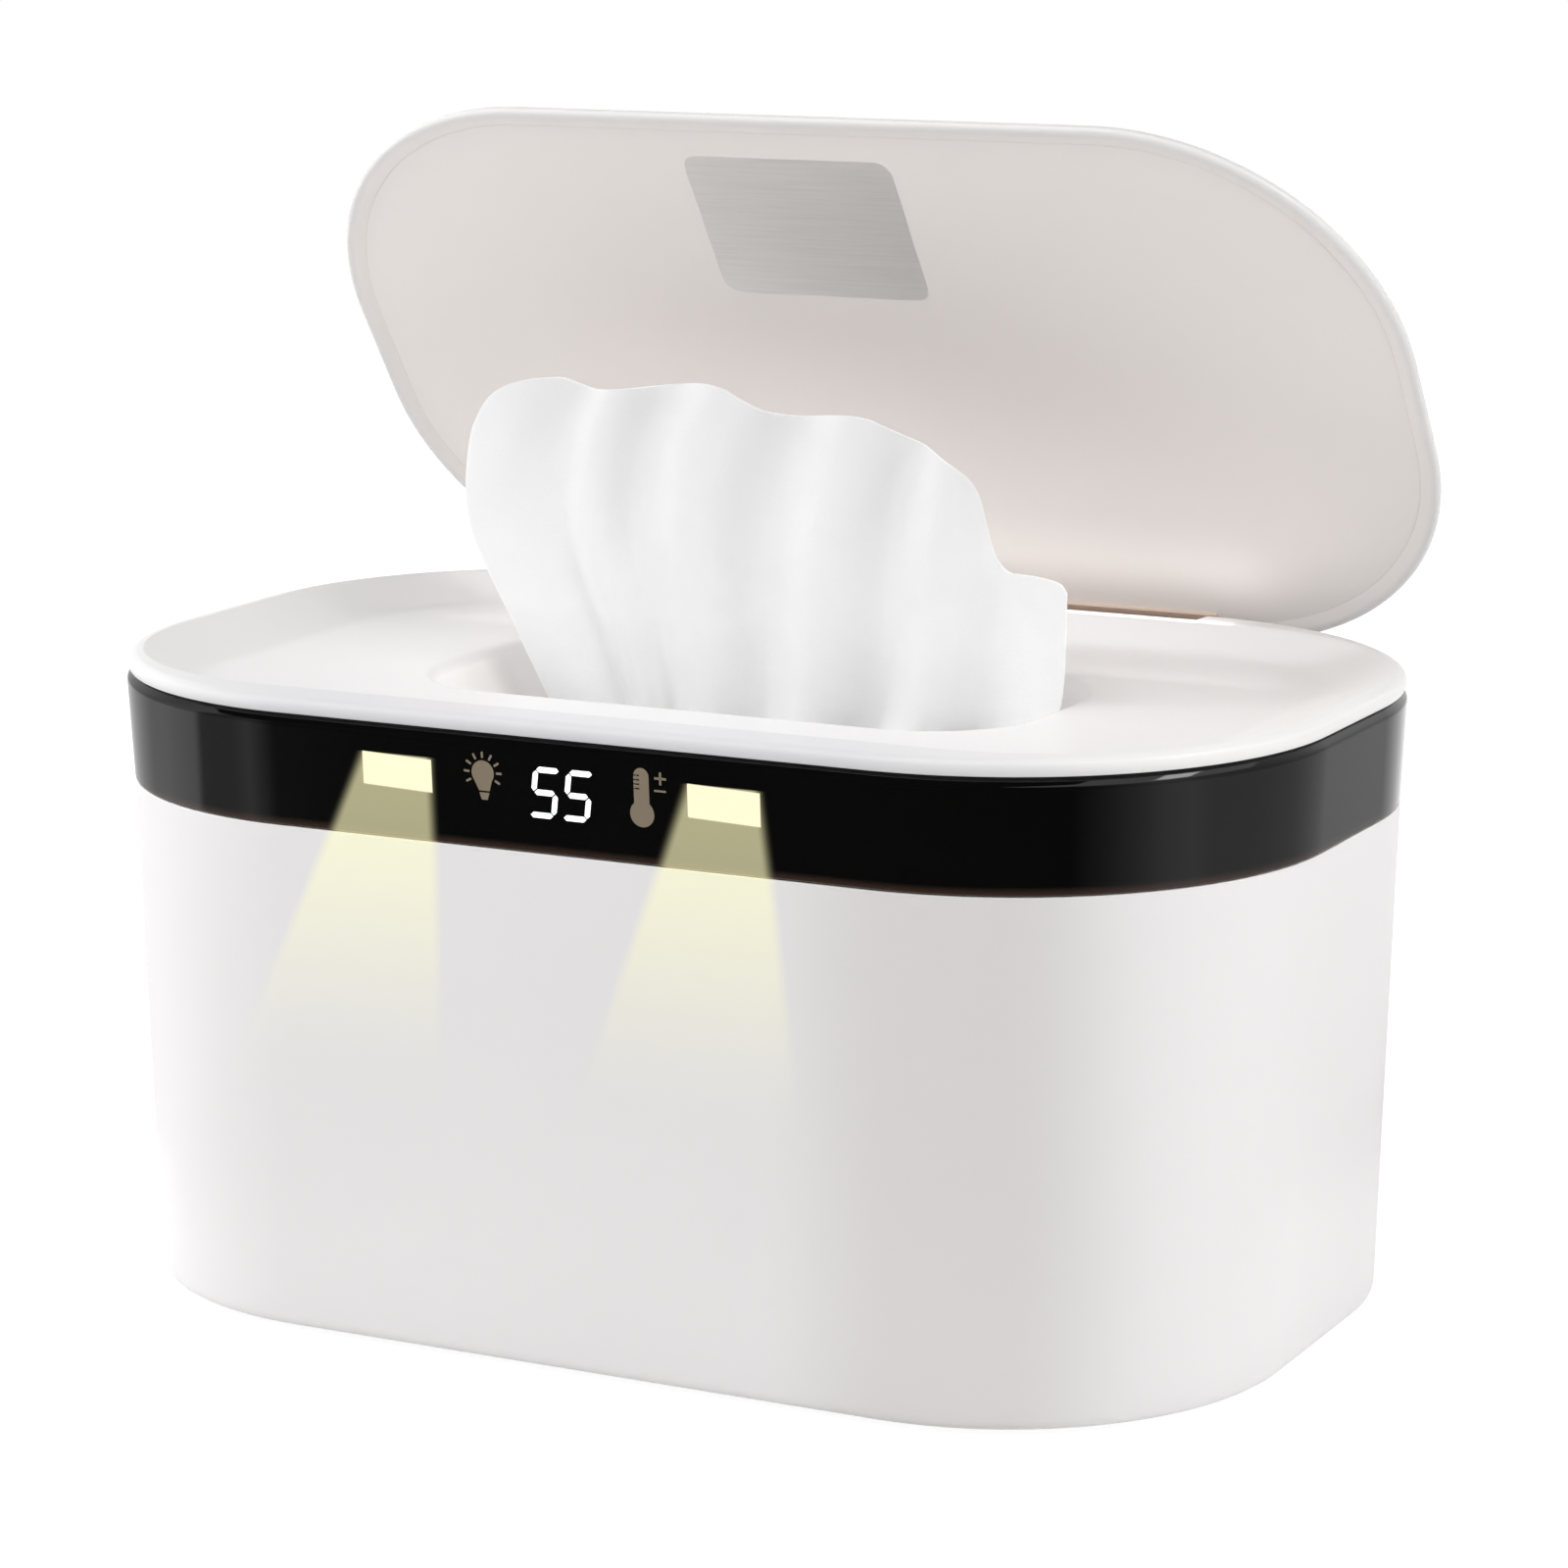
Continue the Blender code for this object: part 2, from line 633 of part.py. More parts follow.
def make_band():
    """Black band: flared outer face with a bevelled shoulder, a spigot that drops into the shell and a
    ledge inside that carries the tank. It has the light windows, the display's pocket and the hinge gap."""
    spigot = WALL + GAP
    spigot_bottom = BAND_BOTTOM - BAND_SPIGOT_DEPTH
    band = loft(
        "control_band",
        [
            plan(0.0, BAND_BOTTOM),
            plan(-BAND_FLARE, BAND_TOP - BAND_BEVEL_HEIGHT),
            plan(BAND_BEVEL_INSET, BAND_TOP),
            plan(WALL, BAND_TOP),
            plan(WALL, LEDGE_TOP),
            plan(WALL + LEDGE_DEPTH, LEDGE_TOP),
            plan(WALL + LEDGE_DEPTH, LEDGE_TOP - LEDGE_THICKNESS),
            plan(WALL, LEDGE_TOP - LEDGE_THICKNESS - LEDGE_DEPTH / 2),
            plan(WALL, BAND_BOTTOM + BAND_SPIGOT_WALL),
            plan(spigot + BAND_SPIGOT_WALL, BAND_BOTTOM),
            plan(spigot + BAND_SPIGOT_WALL, spigot_bottom),
            plan(spigot, spigot_bottom),
            plan(spigot, BAND_BOTTOM),
        ],
        ring=True,
    )
    keep(band, BLACK_GLOSS)
    bay = BOARD_LENGTH / 2 + BAY_MARGIN
    cut(
        band,
        box(
            "board_bay",
            (-bay, -BAND_INSIDE - BAY_DEPTH, BAND_BOTTOM + BAND_SPIGOT_WALL * 2),
            (bay, -BAND_INSIDE + LEDGE_DEPTH * 2, LEDGE_TOP + OVERRUN),
        ),
    )
    for side in (-1, 1):
        guide = box(
            f"board_guide_{side}",
            (side * (bay + GAP) - GUIDE_LENGTH / 2, -BAND_INSIDE - BAY_DEPTH - GAP, LEDGE_TOP - GUIDE_HEIGHT),
            (side * (bay + GAP) + GUIDE_LENGTH / 2, -BAND_INSIDE + GUIDE_DEPTH, LEDGE_TOP),
        )
        guide.location.x -= side * GUIDE_LENGTH / 2
        join(band, guide)
    reach = BOARD_LENGTH / 2 + GAP
    cut(
        band,
        box(
            "board_slot",
            (-reach, -BOARD_FACE - GAP, LEDGE_TOP - GUIDE_HEIGHT - OVERRUN),
            (reach, -BOARD_FACE + BOARD_THICKNESS + GAP, LEDGE_TOP + OVERRUN),
        ),
    )
    display_z = RIM_LINE - DISPLAY_BELOW_RIM
    reach_x = DISPLAY_LENGTH / 2 + GAP
    reach_z = DISPLAY_HEIGHT / 2 + GAP
    cut(
        band,
        box(
            "display_pocket",
            (-reach_x, -BAND_INSIDE - DISPLAY_POCKET, display_z - reach_z),
            (reach_x, -BAND_INSIDE + LEDGE_DEPTH * 2, display_z + reach_z),
        ),
    )
    window_z = RIM_LINE - WINDOW_BELOW_RIM
    for side in (-1, 1):
        middle = side * WINDOW_OFFSET
        cut(
            band,
            box(
                f"window_{side}",
                (middle - WINDOW_LENGTH / 2 - GAP, -HALF_DEPTH - OVERRUN, window_z - WINDOW_HEIGHT / 2 - GAP),
                (middle + WINDOW_LENGTH / 2 + GAP, -BAND_INSIDE + WALL, window_z + WINDOW_HEIGHT / 2 + GAP),
            ),
        )
    cut(
        band,
        box(
            "hinge_gap",
            (-POCKET_HALF_WIDTH, HALF_DEPTH - WALL - LEDGE_DEPTH * 2, spigot_bottom - OVERRUN),
            (POCKET_HALF_WIDTH, HALF_DEPTH + OVERRUN, BAND_TOP + OVERRUN),
        ),
    )
    side = POCKET_HALF_WIDTH + POCKET_WALL + GAP
    cut(
        band,
        box(
            "pocket_clearance",
            (-side, HALF_DEPTH - WALL - LEDGE_DEPTH * 2, spigot_bottom - OVERRUN),
            (side, BAND_INSIDE, BAND_TOP + OVERRUN),
        ),
    )


def make_electronics():
    """What sits behind the band's front: light guides, LEDs, display, touch pads and their board."""
    window_z = RIM_LINE - WINDOW_BELOW_RIM
    window_face = HALF_DEPTH + BAND_FLARE / 2
    for name, side in (("left", -1), ("right", 1)):
        middle = side * WINDOW_OFFSET
        guide = box(
            "light_guide_" + name,
            (middle - WINDOW_LENGTH / 2, -window_face, window_z - WINDOW_HEIGHT / 2),
            (middle + WINDOW_LENGTH / 2, -window_face + WINDOW_DEPTH, window_z + WINDOW_HEIGHT / 2),
        )
        keep(guide, WINDOW_PC)
        led = box(
            "led_" + name,
            (middle - LED_SIZE / 2, -BOARD_FACE - GAP - LED_THICKNESS, LEDGE_TOP - GAP - LED_SIZE),
            (middle + LED_SIZE / 2, -BOARD_FACE - GAP, LEDGE_TOP - GAP),
        )
        keep(led, LED)
    board_top = LEDGE_TOP - GAP
    board = box(
        "control_board",
        (-BOARD_LENGTH / 2, -BOARD_FACE, board_top - BOARD_HEIGHT),
        (BOARD_LENGTH / 2, -BOARD_FACE + BOARD_THICKNESS, board_top),
    )
    keep(board, BOARD)
    display_z = RIM_LINE - DISPLAY_BELOW_RIM
    display = box(
        "display_module",
        (-DISPLAY_LENGTH / 2, -BAND_INSIDE - DISPLAY_POCKET + GAP, display_z - DISPLAY_HEIGHT / 2),
        (DISPLAY_LENGTH / 2, -BOARD_FACE - GAP, display_z + DISPLAY_HEIGHT / 2),
    )
    keep(display, BLACK_PLASTIC)
    for name, x in TOUCH_OFFSETS.items():
        z = board_top - BOARD_HEIGHT / 2
        pad = rod(name, TOUCH_RADIUS, (x, -BAND_INSIDE + GAP - BAY_DEPTH, z), (x, -BOARD_FACE - GAP, z))
        keep(pad, COPPER_FOAM)


def tank_section(inset, z):
    """The tank's outline moved in by an inset: it narrows towards its floor."""
    share = (FLANGE_TOP - z) / (FLANGE_TOP - TANK_FLOOR_Z)
    narrow = TANK_TAPER * share + inset
    return (
        HALF_LENGTH - TANK_MARGIN_LENGTH - narrow,
        HALF_DEPTH - TANK_MARGIN_DEPTH - narrow,
        TANK_RADIUS - narrow,
        z,
    )


def make_tank():
    """Open tub with a flange that rests on the band's ledge, cut back for the board and the hinge pocket."""
    inner_floor = TANK_FLOOR_Z + TANK_WALL
    tank = loft(
        "wipe_tank",
        [
            tank_section(TANK_FLOOR_ROUND, TANK_FLOOR_Z),
            tank_section(TANK_FLOOR_ROUND / 4, TANK_FLOOR_Z + TANK_FLOOR_ROUND / 3),
            tank_section(0.0, TANK_FLOOR_Z + TANK_FLOOR_ROUND),
            tank_section(0.0, FLANGE_BOTTOM),
            plan(TANK_FLANGE_MARGIN, FLANGE_BOTTOM),
            plan(TANK_FLANGE_MARGIN, FLANGE_TOP),
            tank_section(TANK_WALL, FLANGE_TOP),
            tank_section(TANK_WALL, inner_floor + TANK_FLOOR_ROUND),
            tank_section(TANK_WALL + TANK_FLOOR_ROUND / 4, inner_floor + TANK_FLOOR_ROUND / 3),
            tank_section(TANK_WALL + TANK_FLOOR_ROUND, inner_floor),
        ],
    )
    keep(tank, TANK_PP)
    reach = BOARD_LENGTH / 2 + BAY_MARGIN + 2 * GAP
    cut(
        tank,
        box(
            "flange_front_relief",
            (-reach, -HALF_DEPTH, FLANGE_BOTTOM - OVERRUN),
            (reach, -BAND_INSIDE + GUIDE_DEPTH + GAP, FLANGE_TOP + OVERRUN),
        ),
    )
    reach = POCKET_HALF_WIDTH + POCKET_WALL + 2 * GAP
    cut(
        tank,
        box(
            "flange_rear_relief",
            (-reach, POCKET_FRONT - POCKET_WALL - 2 * GAP, FLANGE_BOTTOM - OVERRUN),
            (reach, HALF_DEPTH, FLANGE_TOP + OVERRUN),
        ),
    )


def make_heater():
    """Foil heater under the tank, foam below it, and the two sensors on the tank's front wall."""
    film_top = TANK_FLOOR_Z - GAP
    film_bottom = film_top - FILM_THICKNESS
    film = loft(
        "heating_film",
        [tank_section(FILM_MARGIN, film_bottom), tank_section(FILM_MARGIN, film_top)],
    )
    keep(film, FOIL)
    pad = loft(
        "insulation_pad",
        [
            tank_section(PAD_MARGIN, BASE_THICKNESS + GAP),
            tank_section(PAD_MARGIN, film_bottom - GAP),
        ],
    )
    keep(pad, FOAM)
    for name, x in SENSOR_OFFSETS.items():
        face = depth_at(tank_section(0.0, SENSOR_Z + SENSOR_HEIGHT), x) + GAP
        sensor = box(
            name,
            (x - SENSOR_LENGTH / 2, -face - SENSOR_THICKNESS, SENSOR_Z),
            (x + SENSOR_LENGTH / 2, -face, SENSOR_Z + SENSOR_HEIGHT),
        )
        keep(sensor, BLACK_PLASTIC)


def make_inlet_and_leads():
    """Low-voltage socket in the rear wall, its lead round the tank and the heater's lead."""
    outer = depth_at(drafted(0.0, INLET_Z), INLET_OFFSET) + INLET_PROUD
    inner = outer - INLET_PROUD - WALL - GAP
    back = inner - INLET_BODY_DEPTH
    inlet = box(
        "power_inlet",
        (INLET_OFFSET - INLET_BODY / 2, back, INLET_Z - INLET_BODY / 2),
        (INLET_OFFSET + INLET_BODY / 2, inner, INLET_Z + INLET_BODY / 2),
    )
    keep(inlet, BLACK_PLASTIC)
    join(inlet, rod("inlet_nose", INLET_RADIUS, (INLET_OFFSET, inner - GAP, INLET_Z), (INLET_OFFSET, outer, INLET_Z)))
    floor = back + INLET_FLOOR
    cut(inlet, rod("inlet_bore", INLET_BORE, (INLET_OFFSET, floor, INLET_Z), (INLET_OFFSET, outer + OVERRUN, INLET_Z)))
    join(
        inlet,
        rod(
            "inlet_pin",
            INLET_PIN,
            (INLET_OFFSET, floor - GAP, INLET_Z),
            (INLET_OFFSET, outer - INLET_PROUD, INLET_Z),
            SMALL_STEPS,
        ),
    )
    board_bottom = LEDGE_TOP - GAP - BOARD_HEIGHT
    tank, shell = tank_section(0.0, LEAD_Z), drafted(WALL, LEAD_Z)
    middle = [(a + b) / 2 for a, b in zip(tank, shell)]
    ring = outline(*middle[:3])
    count = CORNER_STEPS + 1
    round_the_end = [(x, y, LEAD_Z) for x, y in ring[:count][::-1] + ring[3 * count :][::-1]]
    start = (INLET_OFFSET + INLET_BODY / 2 + GAP, back + INLET_BODY_DEPTH / 2, LEAD_Z)
    rise_x, rise_y = LEAD_BOARD_OFFSET, -BOARD_FACE + BOARD_THICKNESS / 2
    rise_middle = -middle[1] + LEAD_RADIUS
    path = [start] + round_the_end[1:-2]
    path += [
        (rise_x + LEAD_RADIUS * 2, rise_middle, LEAD_Z + LEAD_RADIUS * 2),
        (rise_x, rise_middle, LEAD_Z + LEAD_RADIUS * 8),
        (rise_x, rise_middle, board_bottom - LEAD_RADIUS * 12),
        (rise_x, rise_y, board_bottom - LEAD_RADIUS * 4),
        (rise_x, rise_y, board_bottom - GAP),
    ]
    keep(lead("inlet_lead", smooth_route(path, 2), LEAD_RADIUS), WIRE_PVC)
    film_edge = tank_section(FILM_MARGIN, TANK_FLOOR_Z)[1]
    film_z = TANK_FLOOR_Z - GAP - LEAD_RADIUS
    x = HEATER_LEAD_OFFSET
    path = [
        (x, -film_edge - GAP, film_z),
        (x, -film_edge - LEAD_RADIUS * 5, film_z),
        (x, rise_middle, film_z + LEAD_RADIUS * 6),
        (x, rise_middle, SHELL_HEIGHT / 2),
        (x, rise_middle, board_bottom - LEAD_RADIUS * 12),
        (x, rise_y, board_bottom - LEAD_RADIUS * 4),
        (x, rise_y, board_bottom - GAP),
    ]
    keep(lead("heater_lead", smooth_route(path, 5), LEAD_RADIUS), WIRE_PVC)


def crest_section(inset, z):
    return (
        HALF_LENGTH - CREST_INSET_LENGTH - inset,
        HALF_DEPTH - CREST_INSET_DEPTH - inset,
        CREST_RADIUS - inset,
        z,
    )


def dish_section(inset, z):
    return (
        HALF_LENGTH - DISH_INSET_LENGTH - inset,
        HALF_DEPTH - DISH_INSET_DEPTH - inset,
        DISH_RADIUS - inset,
        z,
    )


def opening_section(inset, z):
    return (OPENING_LENGTH / 2 - inset, OPENING_DEPTH / 2 - inset, OPENING_RADIUS - inset, z)


def make_top_cover():
    """Moulded cover: rounded rim, dished top, funnel round the wipe opening, a skirt inside the band and
    the hinge pocket that hangs down behind the tank."""
    skirt_outer = WALL + SKIRT_CLEARANCE
    skirt_inner = skirt_outer + SKIRT_WALL
    seal_outer = TANK_MARGIN_LENGTH - SEAL_WIDTH
    rim_under = CREST_Z - COVER_WALL * 1.3
    cover = loft(
        "top_cover",
        [
            plan(-RIM_FOOT_FLARE, COVER_BOTTOM),
            plan(-RIM_FLARE, COVER_BOTTOM + RIM_SIDE_HEIGHT),
            plan(-RIM_FLARE + RIM_ROUND / 4, CREST_Z - RIM_ROUND / 2),
            plan(-RIM_FLARE + RIM_ROUND, CREST_Z - RIM_ROUND / 8),
            crest_section(0.0, CREST_Z),
            crest_section(CREST_ROUND, CREST_Z - CREST_ROUND / 2),
            dish_section(-DISH_ROUND, DISH_Z + DISH_ROUND / 3),
            dish_section(DISH_ROUND / 2, DISH_Z),
            opening_section(-OPENING_ROUND, DISH_Z),
            opening_section(0.0, DISH_Z - OPENING_ROUND),
            opening_section(FUNNEL_TAPER, FUNNEL_BOTTOM),
            opening_section(FUNNEL_TAPER - COVER_WALL, FUNNEL_BOTTOM),
            opening_section(-OPENING_ROUND - COVER_WALL / 2, COVER_UNDERSIDE),
            (
                HALF_LENGTH - seal_outer,
                HALF_DEPTH - TANK_MARGIN_DEPTH + SEAL_WIDTH,
                TANK_RADIUS,
                COVER_UNDERSIDE,
            ),
            crest_section(COVER_WALL, rim_under),
            plan(skirt_inner, rim_under),
            plan(skirt_inner, COVER_BOTTOM - SKIRT_DEPTH),
            plan(skirt_outer, COVER_BOTTOM - SKIRT_DEPTH),
            plan(skirt_outer, COVER_BOTTOM),
        ],
        ring=True,
    )
    keep(cover, COVER_ABS)
    side = POCKET_HALF_WIDTH + POCKET_WALL
    pocket_rear = BAND_INSIDE - SKIRT_CLEARANCE
    join(
        cover,
        box(
            "pocket_box",
            (-side, POCKET_FRONT - POCKET_WALL, POCKET_FLOOR - POCKET_WALL),
            (side, pocket_rear, COVER_UNDERSIDE + COVER_WALL / 4),
        ),
    )
    join(
        cover,
        box(
            "pocket_crown",
            (-side, HALF_DEPTH - CREST_INSET_DEPTH - COVER_WALL, COVER_UNDERSIDE),
            (side, pocket_rear, rim_under + COVER_WALL / 4),
        ),
    )
    cut(
        cover,
        box(
            "pocket_inside",
            (-POCKET_HALF_WIDTH, POCKET_FRONT, POCKET_FLOOR),
            (POCKET_HALF_WIDTH, HALF_DEPTH + OVERRUN, COVER_UNDERSIDE),
        ),
    )
    cut(
        cover,
        box(
            "pocket_mouth",
            (-POCKET_HALF_WIDTH, POCKET_CREST, COVER_UNDERSIDE - OVERRUN),
            (POCKET_HALF_WIDTH, HALF_DEPTH + OVERRUN, CREST_Z + OVERRUN),
        ),
    )
    reach = side + OVERRUN
    cut(cover, rod("pin_way", PIN_RADIUS + GAP, (-reach, HINGE_Y, HINGE_Z), (reach, HINGE_Y, HINGE_Z)))
    pin_reach = POCKET_HALF_WIDTH + POCKET_WALL - GAP
    pin = rod("hinge_pin", PIN_RADIUS, (-pin_reach, HINGE_Y, HINGE_Z), (pin_reach, HINGE_Y, HINGE_Z))
    keep(pin, STEEL)
    for name, side in (("left", -1), ("right", 1)):
        near = side * (ARM_HALF_WIDTH + GAP)
        far = side * (ARM_HALF_WIDTH + GAP + WASHER_THICKNESS)
        washer = rod("hinge_washer_" + name, WASHER_RADIUS, (near, HINGE_Y, HINGE_Z), (far, HINGE_Y, HINGE_Z))
        keep(washer, NYLON)
        bore = rod(
            f"washer_bore_{name}",
            PIN_RADIUS + GAP,
            (near - side * OVERRUN, HINGE_Y, HINGE_Z),
            (far + side * OVERRUN, HINGE_Y, HINGE_Z),
        )
        cut(washer, bore)
    seal_bottom = FLANGE_TOP + GAP
    seal_top = COVER_UNDERSIDE - GAP
    outer = tank_section(-SEAL_INSET, FLANGE_TOP)[:3]
    inner = tank_section(SEAL_WIDTH - SEAL_INSET, FLANGE_TOP)[:3]
    middle = (seal_bottom + seal_top) / 2
    waist = tank_section(-SEAL_INSET + SEAL_WIDTH / 4, FLANGE_TOP)[:3]
    seal = loft(
        "cover_seal",
        [(*outer, seal_bottom), (*waist, middle), (*outer, seal_top), (*inner, seal_top), (*inner, seal_bottom)],
        ring=True,
    )
    keep(seal, SILICONE)


def lid_section(inset, z):
    """The lid's outline in its closed place over the crest."""
    return (
        HALF_LENGTH - CREST_INSET_LENGTH - LID_MARGIN_LENGTH - inset,
        LID_HALF_DEPTH - inset,
        LID_RADIUS - inset,
        z,
    )


def make_lid():
    """The lid is built closed and hung on an empty that lies on the hinge axis and holds it open."""
    top = LID_LIP_Z + LID_HEIGHT
    under = top - LID_CROWN - LID_TOP_WALL
    shell = loft(
        "lid_shell",
        [
            lid_section(LID_CROWN_INSET, under),
            lid_section(LID_BORDER, under),
            lid_section(LID_BORDER, LID_LIP_Z + LID_BORDER_RISE),
            lid_section(LID_LIP_WIDTH, LID_LIP_Z),
            lid_section(LID_LIP, LID_LIP_Z),
            lid_section(0.0, LID_LIP_Z + LID_LIP),
            lid_section(0.0, LID_LIP_Z + LID_SKIRT),
            lid_section(LID_LIP * 1.6, LID_LIP_Z + LID_HEIGHT * 0.5),
            lid_section(LID_LIP * 4.5, LID_LIP_Z + LID_HEIGHT * 0.72),
            lid_section(LID_LIP_WIDTH * 2, LID_LIP_Z + LID_HEIGHT * 0.84),
            lid_section(LID_BORDER * 2.2, top - LID_CROWN),
            lid_section(LID_CROWN_INSET, top),
        ],
    )
    keep(shell, WHITE_ABS)
    liner_top = under - GAP
    liner_bottom = liner_top - LINER_THICKNESS
    liner = loft(
        "lid_liner",
        [
            lid_section(LID_BORDER + GAP + LINER_THICKNESS / 3, liner_bottom),
            lid_section(LID_BORDER + GAP, liner_bottom + LINER_THICKNESS / 3),
            lid_section(LID_BORDER + GAP, liner_top),
        ],
    )
    keep(liner, LINER_ABS)
    leaf = make_hinge_leaf(liner_bottom)
    reach = ARM_HALF_WIDTH + 2 * GAP
    notch = box(
        "lid_rear_notch",
        (-reach, LID_HALF_DEPTH - LID_BORDER - GAP, LID_LIP_Z - OVERRUN),
        (reach, LID_HALF_DEPTH + OVERRUN, HINGE_Z + arm_radius() + ARM_NECK + 2 * GAP),
    )
    cut(shell, notch)
    bpy.context.view_layer.update()
    pivot = bpy.data.objects.new("lid_hinge_axis", None)
    pivot.location = (0, HINGE_Y, HINGE_Z)
    parts.objects.link(pivot)
    bpy.context.view_layer.update()
    for obj in (shell, liner, leaf, *[m.object for piece in (shell, liner, leaf) for m in piece.modifiers]):
        obj.parent = pivot
        obj.matrix_parent_inverse = Matrix.Translation((0, -HINGE_Y, -HINGE_Z))
    pivot.rotation_euler.x = -LID_OPEN_ANGLE


def arm_radius():
    """Inside radius of the arms' neck about the hinge axis."""
    return LID_LIP_Z + ARM_LIP_CLEARANCE - HINGE_Z


def make_hinge_leaf(liner_bottom):
    """Three arms in one leaf: a plate under the liner, a neck over the cover's crest and legs to the pin."""
    radius = arm_radius()
    outer = radius + ARM_NECK
    plate_bottom = LID_LIP_Z + ARM_LIP_CLEARANCE
    plate_top = min(plate_bottom + ARM_PLATE_THICKNESS, liner_bottom - GAP)
    front = HINGE_Y - ARM_PLATE_REACH
    half = ARM_THICKNESS / 2
    along = Vector((math.sin(ARM_ANGLE), math.cos(ARM_ANGLE)))
    across = Vector((math.cos(ARM_ANGLE), -math.sin(ARM_ANGLE)))
    pivot = Vector((HINGE_Y, HINGE_Z))
    first = -math.acos((plate_top - HINGE_Z) / outer)
    last = ARM_ANGLE
    points = [(front, plate_bottom), (front, plate_top)]
    for step in range(ARM_ARC_STEPS + 1):
        angle = first + (last - first) * step / ARM_ARC_STEPS
        points.append((HINGE_Y + outer * math.sin(angle), HINGE_Z + outer * math.cos(angle)))
    points.append(tuple(pivot + along * (outer - half) + across * half))
    points.append(tuple(pivot + along * half + across * half))
    points.append(tuple(pivot + along * half - across * half))
    inside = ARM_ANGLE - math.asin(half / radius)
    points.append((HINGE_Y + radius * math.sin(inside), HINGE_Z + radius * math.cos(inside)))
    points.append((HINGE_Y, plate_bottom))
    upright = Matrix(((0, 0, 1, 0), (1, 0, 0, 0), (0, 1, 0, 0), (0, 0, 0, 1)))
    leaf = keep(prism("lid_hinge_leaf", points, 2 * ARM_HALF_WIDTH, upright), HINGE_ABS)
    ends = ((-ARM_HALF_WIDTH, HINGE_Y, HINGE_Z), (ARM_HALF_WIDTH, HINGE_Y, HINGE_Z))
    join(leaf, rod("leaf_knuckle", KNUCKLE_RADIUS, *ends))
    reach = ARM_HALF_WIDTH + OVERRUN
    cut(leaf, rod("leaf_bore", PIN_RADIUS + GAP, (-reach, HINGE_Y, HINGE_Z), (reach, HINGE_Y, HINGE_Z)))
    for side in (-1, 1):
        middle = side * (ARM_HALF_WIDTH - ARM_END_WIDTH)
        slit = box(
            f"leaf_slit_{side}",
            (middle - ARM_SLIT_WIDTH / 2, front + ARM_BRIDGE, HINGE_Z - KNUCKLE_RADIUS - OVERRUN),
            (middle + ARM_SLIT_WIDTH / 2, HALF_DEPTH + OVERRUN, plate_top + OVERRUN),
        )
        cut(leaf, slit)
    return leaf


def make_wipe_stack():
    """Folded wipes lying in the tank."""
    low = TANK_FLOOR_Z + TANK_WALL + GAP
    floor = tank_section(TANK_WALL + TANK_FLOOR_ROUND, low)
    half_length = floor[0] - STACK_MARGIN_LENGTH
    half_depth = floor[1] - STACK_MARGIN_DEPTH
    stack = loft(
        "wipe_stack",
        [
            (half_length - STACK_EDGE, half_depth - STACK_EDGE, STACK_RADIUS - STACK_EDGE, low),
            (half_length, half_depth, STACK_RADIUS, low + STACK_EDGE),
            (half_length, half_depth, STACK_RADIUS, STACK_TOP - STACK_EDGE),
            (half_length - STACK_EDGE, half_depth - STACK_EDGE, STACK_RADIUS - STACK_EDGE, STACK_TOP),
        ],
        steps=4,
    )
    keep(stack, NONWOVEN)


def sheet_point(u, v):
    """A point of the standing wipe: u runs from left to right, v from the stack to the top edge."""
    rise = v * between(u, SHEET_PLACE_SHARES, SHEET_TOP_SHARES)
    left = between(rise, SHEET_LEVEL_SHARES, SHEET_LEFT_SHARES)
    right = between(rise, SHEET_LEVEL_SHARES, SHEET_RIGHT_SHARES)
    x = (left + (right - left) * u) * OPENING_LENGTH / 2
    valleys = [foot + (crown - foot) * rise for foot, crown in zip(SHEET_FOOT_SHARES, SHEET_CROWN_SHARES)]
    swing = math.cos(2 * math.pi * between(u, valleys, SHEET_PHASE_SHARES))
    y = SHEET_FOLD_DEPTH * swing * (SHEET_GATHER_SHARE + (1 - SHEET_GATHER_SHARE) * rise)
    return Vector((x, y, SHEET_BOTTOM + rise * SHEET_HEIGHT))


def make_wipe_sheet():
    """One wipe standing up through the opening in soft upright folds."""

    def build(bm):
        grid = [
            [bm.verts.new(sheet_point(i / SHEET_COLUMNS, j / SHEET_ROWS)) for i in range(SHEET_COLUMNS + 1)]
            for j in range(SHEET_ROWS + 1)
        ]
        for low, high in zip(grid, grid[1:]):
            for i in range(SHEET_COLUMNS):
                bm.faces.new((low[i], low[i + 1], high[i + 1], high[i]))

    sheet = keep(new_object("wipe_sheet", build), NONWOVEN)
    thick = sheet.modifiers.new("thickness", "SOLIDIFY")
    thick.thickness = SHEET_THICKNESS
    thick.offset = 0.0


make_outer_shell()
make_base()
make_band()
make_electronics()
make_tank()
make_heater()
make_inlet_and_leads()
make_top_cover()
make_lid()
make_wipe_stack()
make_wipe_sheet()
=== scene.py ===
# %% [markdown]
# # A baby wipe warmer, dressed for its portrait
#
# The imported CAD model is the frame: every node is in metres, in one place that never moves. This file
# puts the surfaces on it that the eye sees: satin plastic, a piano-black band with lit symbols, a wipe that
# stands up out of the opening, and the studio round it. A piece that replaces a node keeps the node's
# sizes, but gets finer curves, soft edges and a real finish.

# %% Load the frame
import math

import bmesh
import bpy
from mathutils import Matrix, Vector


